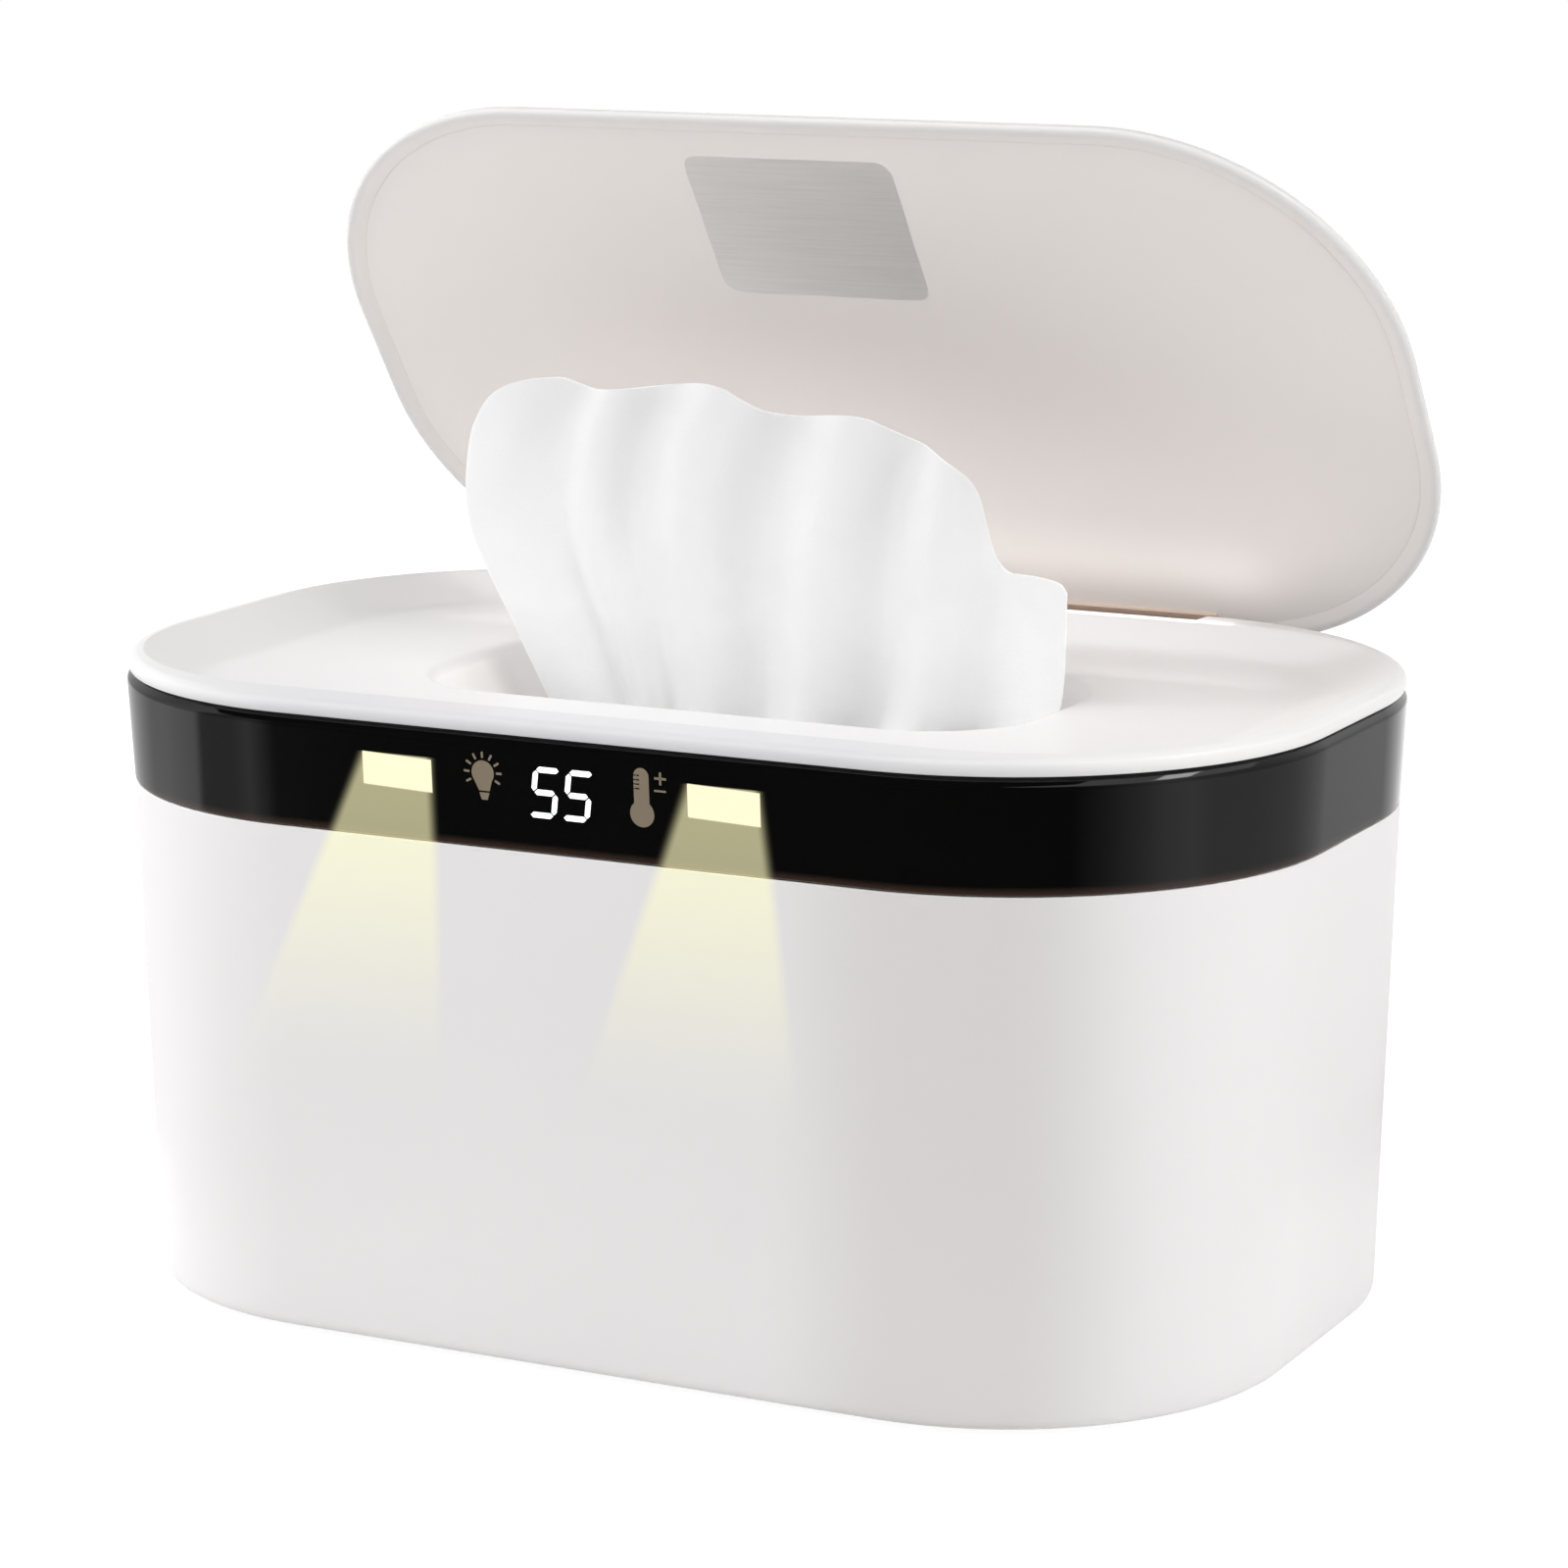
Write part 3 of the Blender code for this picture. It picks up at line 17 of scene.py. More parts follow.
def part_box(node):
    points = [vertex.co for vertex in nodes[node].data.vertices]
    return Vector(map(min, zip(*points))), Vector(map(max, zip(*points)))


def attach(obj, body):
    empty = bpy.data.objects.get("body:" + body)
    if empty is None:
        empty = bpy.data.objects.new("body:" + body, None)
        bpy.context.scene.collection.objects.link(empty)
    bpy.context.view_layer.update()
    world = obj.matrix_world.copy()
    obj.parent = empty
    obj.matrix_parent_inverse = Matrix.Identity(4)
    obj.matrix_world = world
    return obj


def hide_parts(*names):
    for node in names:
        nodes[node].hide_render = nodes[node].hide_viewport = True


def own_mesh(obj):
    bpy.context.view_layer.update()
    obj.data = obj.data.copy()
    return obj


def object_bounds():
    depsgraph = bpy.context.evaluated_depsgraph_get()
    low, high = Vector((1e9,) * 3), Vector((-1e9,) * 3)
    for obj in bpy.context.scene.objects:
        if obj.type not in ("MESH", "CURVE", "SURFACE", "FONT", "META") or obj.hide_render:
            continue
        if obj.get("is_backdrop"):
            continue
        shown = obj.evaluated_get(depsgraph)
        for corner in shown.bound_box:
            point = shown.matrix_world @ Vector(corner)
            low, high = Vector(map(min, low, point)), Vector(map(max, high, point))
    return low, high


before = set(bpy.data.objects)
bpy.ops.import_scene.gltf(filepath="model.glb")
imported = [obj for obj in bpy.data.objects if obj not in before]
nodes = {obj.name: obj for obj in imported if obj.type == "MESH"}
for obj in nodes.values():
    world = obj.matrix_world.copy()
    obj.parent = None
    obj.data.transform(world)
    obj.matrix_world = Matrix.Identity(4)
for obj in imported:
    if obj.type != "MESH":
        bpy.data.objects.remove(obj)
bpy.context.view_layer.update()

MM = 0.001

# %% [markdown]
# ## The camera
#
# A product photographer stands a little to the right, a little above, and uses a long lens so that the far
# end doesn't shrink much. The place, aim and focal length here were fitted to the outlines of the housing
# and the lid, so the frame is the photograph's frame. A tiny roll levels it.


# %% Camera
def stand(name, data):
    """A new object in the scene, at the origin."""
    thing = bpy.data.objects.new(name, data)
    bpy.context.scene.collection.objects.link(thing)
    return thing


def facing(place, direction, axis="-Z"):
    """A place, with one axis turned along a direction."""
    return Matrix.Translation(place) @ Vector(direction).to_track_quat(axis, "Y").to_matrix().to_4x4()


lens = bpy.data.cameras.new("portrait_lens")
lens.lens, lens.sensor_width = 113.95, 36.0
camera = stand("portrait_camera", lens)
camera_place, camera_aim = Vector((0.39943, -0.76553, 0.27170)), Vector((0.00507, 0.0, 0.08906))
ROLL = -0.006
camera.matrix_world = facing(camera_place, camera_aim - camera_place) @ Matrix.Rotation(ROLL, 4, "Z")
bpy.context.scene.camera = camera
print("camera distance, mm:", round((camera_aim - camera_place).length / MM))

# %% [markdown]
# ## Sizes that the pieces share with the CAD source
#
# The source can't be read from here, so the few sizes that the visible skins need are written again, in
# the source's own names. Each outline is a rounded rectangle: half its length, half its depth, its corner
# radius and the height that it lies at.

# %% Shared sizes
HALF_LENGTH, HALF_DEPTH, CORNER_RADIUS = 112.0 * MM, 70.0 * MM, 56.4 * MM
SHELL_HEIGHT, RIM_LINE, WALL, SEAM = 89.8 * MM, 109.3 * MM, 2.4 * MM, 0.16 * MM
BAND_BOTTOM, BAND_TOP, COVER_BOTTOM = SHELL_HEIGHT + SEAM / 2, RIM_LINE - SEAM / 2, RIM_LINE + SEAM / 2
CREST_Z, DISH_Z, FUNNEL_BOTTOM = 112.4 * MM, 107.5 * MM, 97.0 * MM
COVER_UNDERSIDE, COVER_WALL, LEDGE_TOP = 105.9 * MM, 1.6 * MM, 101.4 * MM
HINGE_Y, HINGE_Z, LID_OPEN_ANGLE = 63.3 * MM, 90.0 * MM, math.radians(55.7)
KNUCKLE_RADIUS, PIN_RADIUS, ARM_HALF_WIDTH = 3.4 * MM, 1.5 * MM, 55.6 * MM
POCKET_HALF_WIDTH, POCKET_FRONT, POCKET_FLOOR = 57.3 * MM, 59.4 * MM, 86.1 * MM
POCKET_WALL, POCKET_CREST = 1.4 * MM, 63.6 * MM
LID_LIP_Z, LID_BORDER, LID_HALF_DEPTH = 113.0 * MM, 3.8 * MM, 60.1 * MM
OVERRUN = 3.0 * MM  # how far a cutting tool stands out of what it cuts
CORNER_STEPS = 30


def inset_of(half_length, half_depth, radius, inset, z):
    """A rounded outline moved in by an inset, at a height."""
    return (half_length - inset, half_depth - inset, radius - inset, z)


def plan(inset, z):
    """The housing's outline at the black band."""
    return inset_of(HALF_LENGTH, HALF_DEPTH, CORNER_RADIUS, inset, z)


def drafted(inset, z):
    """The white wall's outline: it narrows a little towards the floor, so that it leaves its mould."""
    share = (SHELL_HEIGHT - z) / SHELL_HEIGHT
    length, depth, radius, _ = plan(inset, z)
    return (length - 4.5 * MM * share, depth - 0.8 * MM * share, radius - 5.2 * MM * share, z)


print("housing at the parting line, mm:", 2 * HALF_LENGTH / MM, "by", 2 * HALF_DEPTH / MM)

# %% [markdown]
# ## Helpers for the skins
#
# A moulded housing is a stack of outlines skinned with faces, which is called a loft. Real moulded edges
# are never sharp: each corner of the profile is rounded with a short curve before the skin is made, and
# those small rounds are what catches the light. Openings are cut with a Boolean at once, so that what
# is left is a plain mesh.


# %% Outlines and profiles
def rounded_rectangle(half_length, half_depth, radius, steps=CORNER_STEPS):
    """Points of a rounded rectangle, anticlockwise from its right side."""
    radius = min(radius, half_length, half_depth)
    points = []
    for quarter, (sx, sy) in enumerate(((1, 1), (-1, 1), (-1, -1), (1, -1))):
        for step in range(steps + 1):
            angle = math.pi / 2 * (quarter + step / steps)
            x = sx * (half_length - radius) + radius * math.cos(angle)
            points.append((x, sy * (half_depth - radius) + radius * math.sin(angle)))
    return points


def soften(profile, steps=6, closed=True):
    """Rounds the corners of a profile. Each entry is a section and the radius of its corner, in mm."""

    def reach(a, b):
        return max(math.hypot(a[0] - b[0], a[3] - b[3]), math.hypot(a[1] - b[1], a[3] - b[3]), 1e-9)

    sections, count = [], len(profile)
    for i, (corner, radius) in enumerate(profile):
        corner = Vector(corner)
        if not radius or (not closed and i in (0, count - 1)):
            sections.append(tuple(corner))
            continue
        before, after = Vector(profile[i - 1][0]), Vector(profile[(i + 1) % count][0])
        start = corner.lerp(before, min(radius * MM / reach(corner, before), 0.499))
        end = corner.lerp(after, min(radius * MM / reach(corner, after), 0.499))
        for step in range(steps + 1):
            t = step / steps
            sections.append(tuple(start * (1 - t) ** 2 + corner * 2 * t * (1 - t) + end * t**2))
    return sections


# %% Skins
def new_piece(name, bm):
    """A new object at the origin from mesh data: doubles merged, faces turned outwards."""
    bmesh.ops.remove_doubles(bm, verts=bm.verts, dist=MM / 200)
    bmesh.ops.recalc_face_normals(bm, faces=bm.faces)
    mesh = bpy.data.meshes.new(name)
    bm.to_mesh(mesh)
    bm.free()
    return stand(name, mesh)


def shell(name, *stacks, closed=False, caps=True):
    """Skins stacks of outlines, in one mesh. A closed stack joins its last to its first, others are capped."""
    bm = bmesh.new()
    for stack in stacks:
        loops = [[bm.verts.new(point) for point in outline] for outline in stack]
        pairs = list(zip(loops, loops[1:]))
        if closed:
            pairs.append((loops[-1], loops[0]))
        elif caps:
            bm.faces.new(loops[0])
            bm.faces.new(loops[-1])
        for lower, upper in pairs:
            for i in range(len(lower)):
                j = (i + 1) % len(lower)
                bm.faces.new((lower[i], lower[j], upper[j], upper[i]))
    return new_piece(name, bm)


def skin(name, sections, closed=True, steps=CORNER_STEPS):
    """Skins a stack of rounded rectangles."""
    outlines = [[(x, y, z) for x, y in rounded_rectangle(*sizes, steps)] for *sizes, z in sections]
    return shell(name, outlines, closed=closed)


# %% [markdown]
# Blocks and rods are only tools here, or the start of a small part. Several that don't touch go into one
# mesh, so that one Boolean does the work of many.


# %% Blocks, rods and cuts
def blocks(name, *corner_pairs, bevel=0.0):
    """Boxes between pairs of corners, in one mesh."""
    bm = bmesh.new()
    for low, high in corner_pairs:
        low, high = Vector(low), Vector(high)
        made = bmesh.ops.create_cube(bm, size=1.0)["verts"]
        bmesh.ops.scale(bm, vec=high - low, verts=made)
        bmesh.ops.translate(bm, vec=(low + high) / 2, verts=made)
    if bevel:
        bmesh.ops.bevel(bm, geom=bm.edges[:], offset=bevel, segments=3, profile=0.5, affect="EDGES")
    return new_piece(name, bm)


def rods(name, radius, *end_pairs, steps=40):
    """Round rods between pairs of points, in one mesh."""
    bm = bmesh.new()
    for start, end in end_pairs:
        start, end = Vector(start), Vector(end)
        sizes = {"radius1": radius, "radius2": radius, "depth": (end - start).length}
        place = facing((start + end) / 2, end - start, "Z")
        bmesh.ops.create_cone(bm, cap_ends=True, segments=steps, matrix=place, **sizes)
    return new_piece(name, bm)


def turn_profile(name, profile, steps=48):
    """A solid of revolution about the vertical axis, from (radius, height) pairs in mm."""
    bm = bmesh.new()
    line = [bm.verts.new((radius * MM, 0, z * MM)) for radius, z in profile]
    edges = [bm.edges.new(pair) for pair in zip(line, line[1:])]
    about = {"cent": (0, 0, 0), "axis": (0, 0, 1), "angle": 2 * math.pi}
    bmesh.ops.spin(bm, geom=line + edges, steps=steps, use_duplicate=False, **about)
    return new_piece(name, bm)


def freeze(piece):
    """Turns a piece with live modifiers into a plain mesh."""
    graph = bpy.context.evaluated_depsgraph_get()
    shape = piece.evaluated_get(graph)
    mesh = bpy.data.meshes.new_from_object(shape, preserve_all_data_layers=True, depsgraph=graph)
    piece.modifiers.clear()
    piece.data = mesh


def carve(piece, tool, how="DIFFERENCE"):
    """Cuts a tool out of a piece, or joins it on, and throws the tool away."""
    step = piece.modifiers.new(how.lower(), "BOOLEAN")
    step.operation, step.solver, step.object = how, "EXACT", tool
    freeze(piece)
    bpy.data.objects.remove(tool)


# %% [markdown]
# ## Finishes
#
# Each finish starts from what the real material is. One function turns the hex colours that a designer
# writes into the linear numbers that light works with, and one adds a node with its settings and links.
# The patterns read the object's own coordinates, in metres, so their scales come from real sizes.

# %% Colour and node helpers
finishes = {}


def colour(hex_value):
    """An sRGB hex colour as linear red, green, blue and a full alpha."""
    channels = [int(hex_value[i : i + 2], 16) / 255 for i in (1, 3, 5)]
    return (*[c / 12.92 if c <= 0.04045 else ((c + 0.055) / 1.055) ** 2.4 for c in channels], 1.0)


def add_node(tree, kind, sockets=(), **settings):
    """Adds a node. Sockets get values, or the outputs that feed them; settings are its properties."""
    node = tree.nodes.new(kind)
    for name, value in settings.items():
        setattr(node, name, value)
    for name, value in dict(sockets).items():
        if isinstance(value, bpy.types.NodeSocket):
            tree.links.new(value, node.inputs[name])
        else:
            node.inputs[name].default_value = value
    return node


def start_finish(name, **values):
    """A new material with one shader, its plain values on the shader's own sockets."""
    finish = finishes[name] = bpy.data.materials.new(name)
    finish.use_nodes = True
    tree = finish.node_tree
    tree.nodes.clear()
    sockets = {key.replace("_", " "): value for key, value in values.items()}
    shader = add_node(tree, "ShaderNodeBsdfPrincipled", sockets)
    add_node(tree, "ShaderNodeOutputMaterial", {"Surface": shader.outputs[0]})
    place = add_node(tree, "ShaderNodeTexCoord").outputs["Object"]
    return tree, shader, place


# %% [markdown]
# Most surfaces here are one shade with others laid over it: a drift, a scratch, a painted shade at a turn. A
# mask says where each shows. Where a mask follows the shape, it is a product of ramps along the object's own axes.


# %% Shades and masks
def layered(tree, shade, *layers):
    """A shade with others laid over it. Each layer is a mask from 0 to 1 and the hex colour it lets through."""
    shade = colour(shade) if isinstance(shade, str) else shade
    for mask, tint in layers:
        sockets = {0: mask, 6: shade, 7: colour(tint)}
        shade = add_node(tree, "ShaderNodeMix", sockets, data_type="RGBA").outputs[2]
    return shade


def mask_of(tree, *ramps, soft=False):
    """The product of ramps. Each is a value, where it is lowest, where it is 1, and its lowest share, or 0."""
    product = None
    for value, start, end, *lowest in ramps:
        sockets = {"Value": value, "From Min": start, "From Max": end, "To Min": lowest[0] if lowest else 0.0}
        kind = "SMOOTHSTEP" if soft else "LINEAR"
        share = add_node(tree, "ShaderNodeMapRange", sockets, interpolation_type=kind).outputs[0]
        if product is not None:
            share = add_node(tree, "ShaderNodeMath", {0: product, 1: share}, operation="MULTIPLY").outputs[0]
        product = share
    return product


# %% [markdown]
# Injection-moulded plastic copies the steel of its mould. A polished mould gives a nearly even gloss, a
# sparked one a fine satin grain. Both show two things: slow drifts of shade where the melt met or cooled,
# some 40 mm across, and a micro-relief of hundredths of a millimetre that breaks up the highlights. The
# true grain is about 0.05 mm, too fine for a picture, so it is drawn at half a millimetre.


# %% Moulded plastics
def moulded(name, shade, drift_shade, roughness, grain=0.5, relief=0.002, **values):
    """Moulded plastic: a slow drift between two close shades, uneven gloss and a fine relief, in mm."""
    tree, shader, place = start_finish(name, **values)
    drift, flow, grains = (
        add_node(tree, "ShaderNodeTexNoise", {"Vector": place, "Scale": 1 / (size * MM), "Detail": detail}).outputs[0]
        for size, detail in ((40, 2.0), (9, 3.0), (grain, 2.0))
    )
    spread = {"Value": flow, "To Min": roughness * 0.9, "To Max": roughness * 1.1}
    gloss = add_node(tree, "ShaderNodeMapRange", spread).outputs[0]
    bump = add_node(tree, "ShaderNodeBump", {"Distance": relief * MM, "Height": grains}).outputs[0]
    shade = layered(tree, shade, (drift, drift_shade))
    for socket, source in (("Base Color", shade), ("Roughness", gloss), ("Normal", bump)):
        tree.links.new(source, shader.inputs[socket])
    return tree, shader, place, shade


# ABS, IOR 1.54, is tough and slightly warm. The panel inside the lid is another batch: warmer and more matt
moulded("warm_panel_abs", "#E8E2DF", "#E5DFDC", 0.5, IOR=1.54)
# Polypropylene, IOR 1.49, has a waxy, duller surface; it resists the wet wipes and the warmth
moulded("tank_polypropylene", "#DEDEDB", "#D8D8D5", 0.5, IOR=1.49)
moulded("base_polypropylene", "#E6E6E5", "#E1E1E0", 0.58, IOR=1.49)
# Components and the socket are black glass-filled nylon or epoxy: matt, with a coarse grain
moulded("black_filled_nylon", "#161617", "#1C1C1D", 0.55, 0.4, 0.006, IOR=1.53)
moulded("natural_nylon", "#DCD8CD", "#D4D0C4", 0.4, IOR=1.53)
# Rubber and silicone hardly shine, and soft PVC only a little
moulded("moulded_rubber", "#B9B9B8", "#ADADAC", 0.85, 0.5, 0.01, IOR=1.52)
moulded("silicone_rubber", "#DAD9D5", "#D2D1CD", 0.6, IOR=1.41)
moulded("soft_pvc", "#1D1D1F", "#262628", 0.5, IOR=1.53)
# A board's green mask shows the weave of the glass cloth below it, and an LED its yellow phosphor
moulded("solder_masked_laminate", "#14582C", "#1A6334", 0.35, 1.2, 0.01, IOR=1.5)
moulded("led_phosphor", "#F4EBA8", "#EADF92", 0.4, IOR=1.5)
# The touch symbols are a thin grey-brown ink that shows only by contrast
moulded("translucent_symbol_ink", "#837867", "#7B705E", 0.4, IOR=1.5, Specular_IOR_Level=0.2)
print("plastics made:", len(finishes))

# %% [markdown]
# The cover and the lid change shade over their piece. Below the dish the cover's funnel is painted paler,
# most of all at its front half: painted light where the recess gets little. The rim's front, over the black
# band, gets a painted shade, and its right end a little painted light. The lid's lip takes the panel's warmer
# shade on its inner side, and only its outer round stays white; the lid's mesh says where, in an attribute.

# %% The cover's and the lid's finishes
tree, shader, place, shade = moulded("polished_white_abs", "#DFDEDE", "#DCDBDB", 0.34, IOR=1.54)
axes = add_node(tree, "ShaderNodeSeparateXYZ", {"Vector": place}).outputs
off_middle = add_node(tree, "ShaderNodeMath", {0: axes["X"]}, operation="ABSOLUTE").outputs[0]
# painted light in the funnel below the dish, painted shade on the rim's front, painted light at the right end
funnel_painted_light = mask_of(tree, (axes["Z"], 107.2 * MM, 105.5 * MM), (axes["Y"], 9 * MM, 2 * MM, 0.35))
rim_front_painted_shade = mask_of(tree, (axes["Y"], -50 * MM, -60 * MM), (off_middle, 90 * MM, 50 * MM))
right_end_painted_light = mask_of(tree, (axes["X"], 78 * MM, 105 * MM))
shade = layered(tree, shade, (funnel_painted_light, "#FBF9F8"), (rim_front_painted_shade, "#D2D1D3"), (right_end_painted_light, "#E4E3E2"))
tree.links.new(shade, shader.inputs["Base Color"])

tree, shader, place, shade = moulded("lid_white_abs", "#DCDAD9", "#D9D7D6", 0.36, IOR=1.54)
inside_lip = add_node(tree, "ShaderNodeAttribute", attribute_name="inside_the_lip").outputs["Fac"]
tree.links.new(layered(tree, shade, (inside_lip, "#E8E2DF")), shader.inputs["Base Color"])

# %% [markdown]
# ## The night light's glow
#
# Two windows in the band throw a pale yellow wedge of light down the front. On the real object it is
# light on the plastic, so it could be made with lamps. But lamps that graze a wall spill in every
# direction, so the wedge is drawn in the two finishes: each window has a left and a right edge that open
# out as they go down, with soft sides, and the light fades with its distance.

# %% The wedge of light as a mask
WINDOWS = {"left": (-38.45 * MM, -24.8 * MM), "right": (23.6 * MM, 37.1 * MM)}
WINDOW_LOW, WINDOW_HIGH = 98.65 * MM, 104.4 * MM
OPENINGS = {"left": (0.485, 0.0), "right": (0.385, 0.11)}  # mm that each edge moves out for every mm of drop


def glow_mask(tree, place, reach, blur):
    """1 inside the two wedges below the windows on the front, fading to 0 over the reach."""
    axes = add_node(tree, "ShaderNodeSeparateXYZ", {"Vector": place}).outputs
    drop = add_node(tree, "ShaderNodeMath", {0: WINDOW_HIGH, 1: axes["Z"]}, operation="SUBTRACT").outputs[0]
    wedges = []
    for side_name, edges in WINDOWS.items():
        ramps = []
        for edge, opening, way in zip(edges, OPENINGS[side_name], (1, -1)):
            sockets = {0: drop, 1: way * opening, 2: axes["X"]}
            line = add_node(tree, "ShaderNodeMath", sockets, operation="MULTIPLY_ADD").outputs[0]
            ramps.append((line, edge - way * blur, edge + way * blur))
        wedges.append(mask_of(tree, *ramps, soft=True))
    both = add_node(tree, "ShaderNodeMath", {0: wedges[0], 1: wedges[1]}, operation="ADD").outputs[0]
    fade, below, front = (drop, reach, 0.0), (drop, -0.1 * MM, 0.2 * MM), (axes["Y"], -50 * MM, -60 * MM)
    where = mask_of(tree, fade, below, front, soft=True)
    return add_node(tree, "ShaderNodeMath", {0: both, 1: where}, operation="MULTIPLY").outputs[0]


# %% The white wall's finish: satin ABS, with a painted shade where the front turns into the right end, and the glow painted on it
tree, shader, place, shade = moulded("satin_white_abs", "#E3E1E1", "#E0DEDE", 0.42, IOR=1.54)
axes = add_node(tree, "ShaderNodeSeparateXYZ", {"Vector": place}).outputs
turn = (("X", 35, 60), ("X", 99, 78), ("Y", -35, -50))
# painted shade where the front turns into the right end
painted_shade_at_turn = mask_of(tree, *[(axes[axis], start * MM, end * MM) for axis, start, end in turn], soft=True)
glow = glow_mask(tree, place, reach=62 * MM, blur=1.5 * MM)
tree.links.new(layered(tree, shade, (painted_shade_at_turn, "#D6D3D2"), (glow, "#F9F7D5")), shader.inputs["Base Color"])

# %% [markdown]
# The band is piano black: acrylic-capped ABS, moulded in a mirror-polished tool. Its colour is nearly
# nothing, so the eye reads it by its reflections alone, with a very low roughness and no grain. The
# finest flaw that shows on such a surface is a slow ripple, called orange peel, a few millimetres across.
# Its lowest millimetre gets a painted warm trace, for the light that the wall below throws up onto it.

# %% The black band's finish
tree, shader, place = start_finish("piano_black_acrylic", IOR=1.49, Roughness=0.05)
peel = add_node(tree, "ShaderNodeTexNoise", {"Vector": place, "Scale": 1 / (7 * MM), "Detail": 1.0})
bump = add_node(tree, "ShaderNodeBump", {"Distance": 0.004 * MM, "Height": peel.outputs[0]})
drift = add_node(tree, "ShaderNodeTexNoise", {"Vector": place, "Scale": 1 / (30 * MM)}).outputs[0]
height = add_node(tree, "ShaderNodeSeparateXYZ", {"Vector": place}).outputs["Z"]
# painted warm light from the wall below, on the band's lowest millimetre
foot = mask_of(tree, (height, 91.4 * MM, 89.9 * MM))
glow = glow_mask(tree, place, reach=120 * MM, blur=1.6 * MM)
# The eye sees a soft edge on black as even only when the light itself falls off faster
glow = add_node(tree, "ShaderNodeMath", {0: glow, 1: 2.2}, operation="POWER").outputs[0]
shader.inputs["Emission Color"].default_value = colour("#B3AE8A")
tree.links.new(layered(tree, "#080808", (drift, "#0B0B0B"), (foot, "#3A2C25")), shader.inputs["Base Color"])
tree.links.new(bump.outputs[0], shader.inputs["Normal"])
tree.links.new(glow, shader.inputs["Emission Strength"])

# %% [markdown]
# The windows are clouded polycarbonate over a warm LED, lit evenly right to their edges. The digits are a
# white LED display behind the black. Both give their own light, with a slight cloud in it.

# %% Windows and digits
lit_parts = (  # name, unlit shade, IOR and roughness and strength, the cloud's size in mm and detail, its two shades
    ("clouded_polycarbonate", "#8A8878", (1.58, 0.35, 0.8), (6, 1.0), ("#FFF8CC", "#FFF8D4")),
    ("white_led_segment", "#F4F6F8", (1.5, 0.4, 0.75), (2, 2.0), ("#FFFFFF", "#F4F8FC")),
)
for name, unlit, (ior, roughness, strength), (size, detail), (light, cloud) in lit_parts:
    values = {"IOR": ior, "Roughness": roughness, "Base_Color": colour(unlit), "Emission_Strength": strength}
    tree, shader, place = start_finish(name, **values)
    pattern = {"Vector": place, "Scale": 1 / (size * MM), "Detail": detail}
    clouds = add_node(tree, "ShaderNodeTexNoise", pattern).outputs[0]
    tree.links.new(layered(tree, light, (clouds, cloud)), shader.inputs["Emission Color"])

# %% [markdown]
# Metals and foils. Zinc-plated steel is bright with a slight blue cast. The plate inside the lid is a
# metallised film, brushed along its length: fine scratches stretch its highlights, so the noise behind its
# shade and roughness is stretched forty times along X.

# %% Metals
metals = (  # name, two shades, roughness, a scratch's width in mm, and how far it is stretched
    ("zinc_plated_steel", "#C6C8CC", "#B7BABF", 0.28, 1.0, 1),
    ("nickel_plated_brass", "#CFCDC6", "#C2BFB6", 0.22, 1.0, 1),
    ("rolled_aluminium_foil", "#D6D7D9", "#C8C9CC", 0.3, 0.8, 20),
    ("brushed_metallised_film", "#F4F3F1", "#E9E8E5", 0.5, 0.45, 40),
)
for name, shade, second_shade, roughness, scratch, stretch in metals:
    tree, shader, place = start_finish(name, Metallic=1.0, Roughness=roughness)
    along = add_node(tree, "ShaderNodeMapping", {"Vector": place, "Scale": (1 / stretch, 1.0, 1.0)})
    pattern = {"Vector": along.outputs[0], "Scale": 1 / (scratch * MM), "Detail": 3.0}
    lines = add_node(tree, "ShaderNodeTexNoise", pattern).outputs[0]
    spread = {"Value": lines, "To Min": roughness * 0.8, "To Max": roughness * 1.2}
    rough = add_node(tree, "ShaderNodeMapRange", spread).outputs[0]
    tree.links.new(layered(tree, shade, (lines, second_shade)), shader.inputs["Base Color"])
    tree.links.new(rough, shader.inputs["Roughness"])

# %% [markdown]
# Soft materials. Foam is matt and full of small pits. The wipe is a nonwoven: short fibres tangled by
# water jets, with no thread at all. It scatters light softly through itself, so it gets a little
# subsurface light, a sheen from the fibre ends, and a felt-like relief. The fibres are 0.015 mm thick,
# far too fine to draw, so their tangles are drawn 0.6 mm apart. A painted shade makes it darker towards
# its free edge, and another makes it greyer low down, where the stack in the tank lies.

# %% Foam and nonwoven
tree, shader, place = start_finish("closed_cell_foam", IOR=1.4, Roughness=0.95)
cells = add_node(tree, "ShaderNodeTexVoronoi", {"Vector": place, "Scale": 1 / (0.9 * MM)}).outputs["Distance"]
bump = add_node(tree, "ShaderNodeBump", {"Distance": 0.15 * MM, "Height": cells})
tree.links.new(layered(tree, "#3A3A3C", (cells, "#2B2B2D")), shader.inputs["Base Color"])
tree.links.new(bump.outputs[0], shader.inputs["Normal"])

soft_light = {"Subsurface_Weight": 0.25, "Subsurface_Radius": (1.0, 1.0, 1.0), "Subsurface_Scale": 3 * MM}
fibre_ends = {"Specular_IOR_Level": 0.25, "Sheen_Weight": 0.08, "Sheen_Roughness": 0.5}
tree, shader, place = start_finish("spunlace_nonwoven", IOR=1.45, Roughness=0.9, **fibre_ends, **soft_light)
tangle, cloudy = (
    add_node(tree, "ShaderNodeTexNoise", {"Vector": place, "Scale": 1 / (size * MM), "Detail": detail}).outputs[0]
    for size, detail in ((0.6, 4.0), (5, 3.0))
)
height = add_node(tree, "ShaderNodeSeparateXYZ", {"Vector": place}).outputs["Z"]
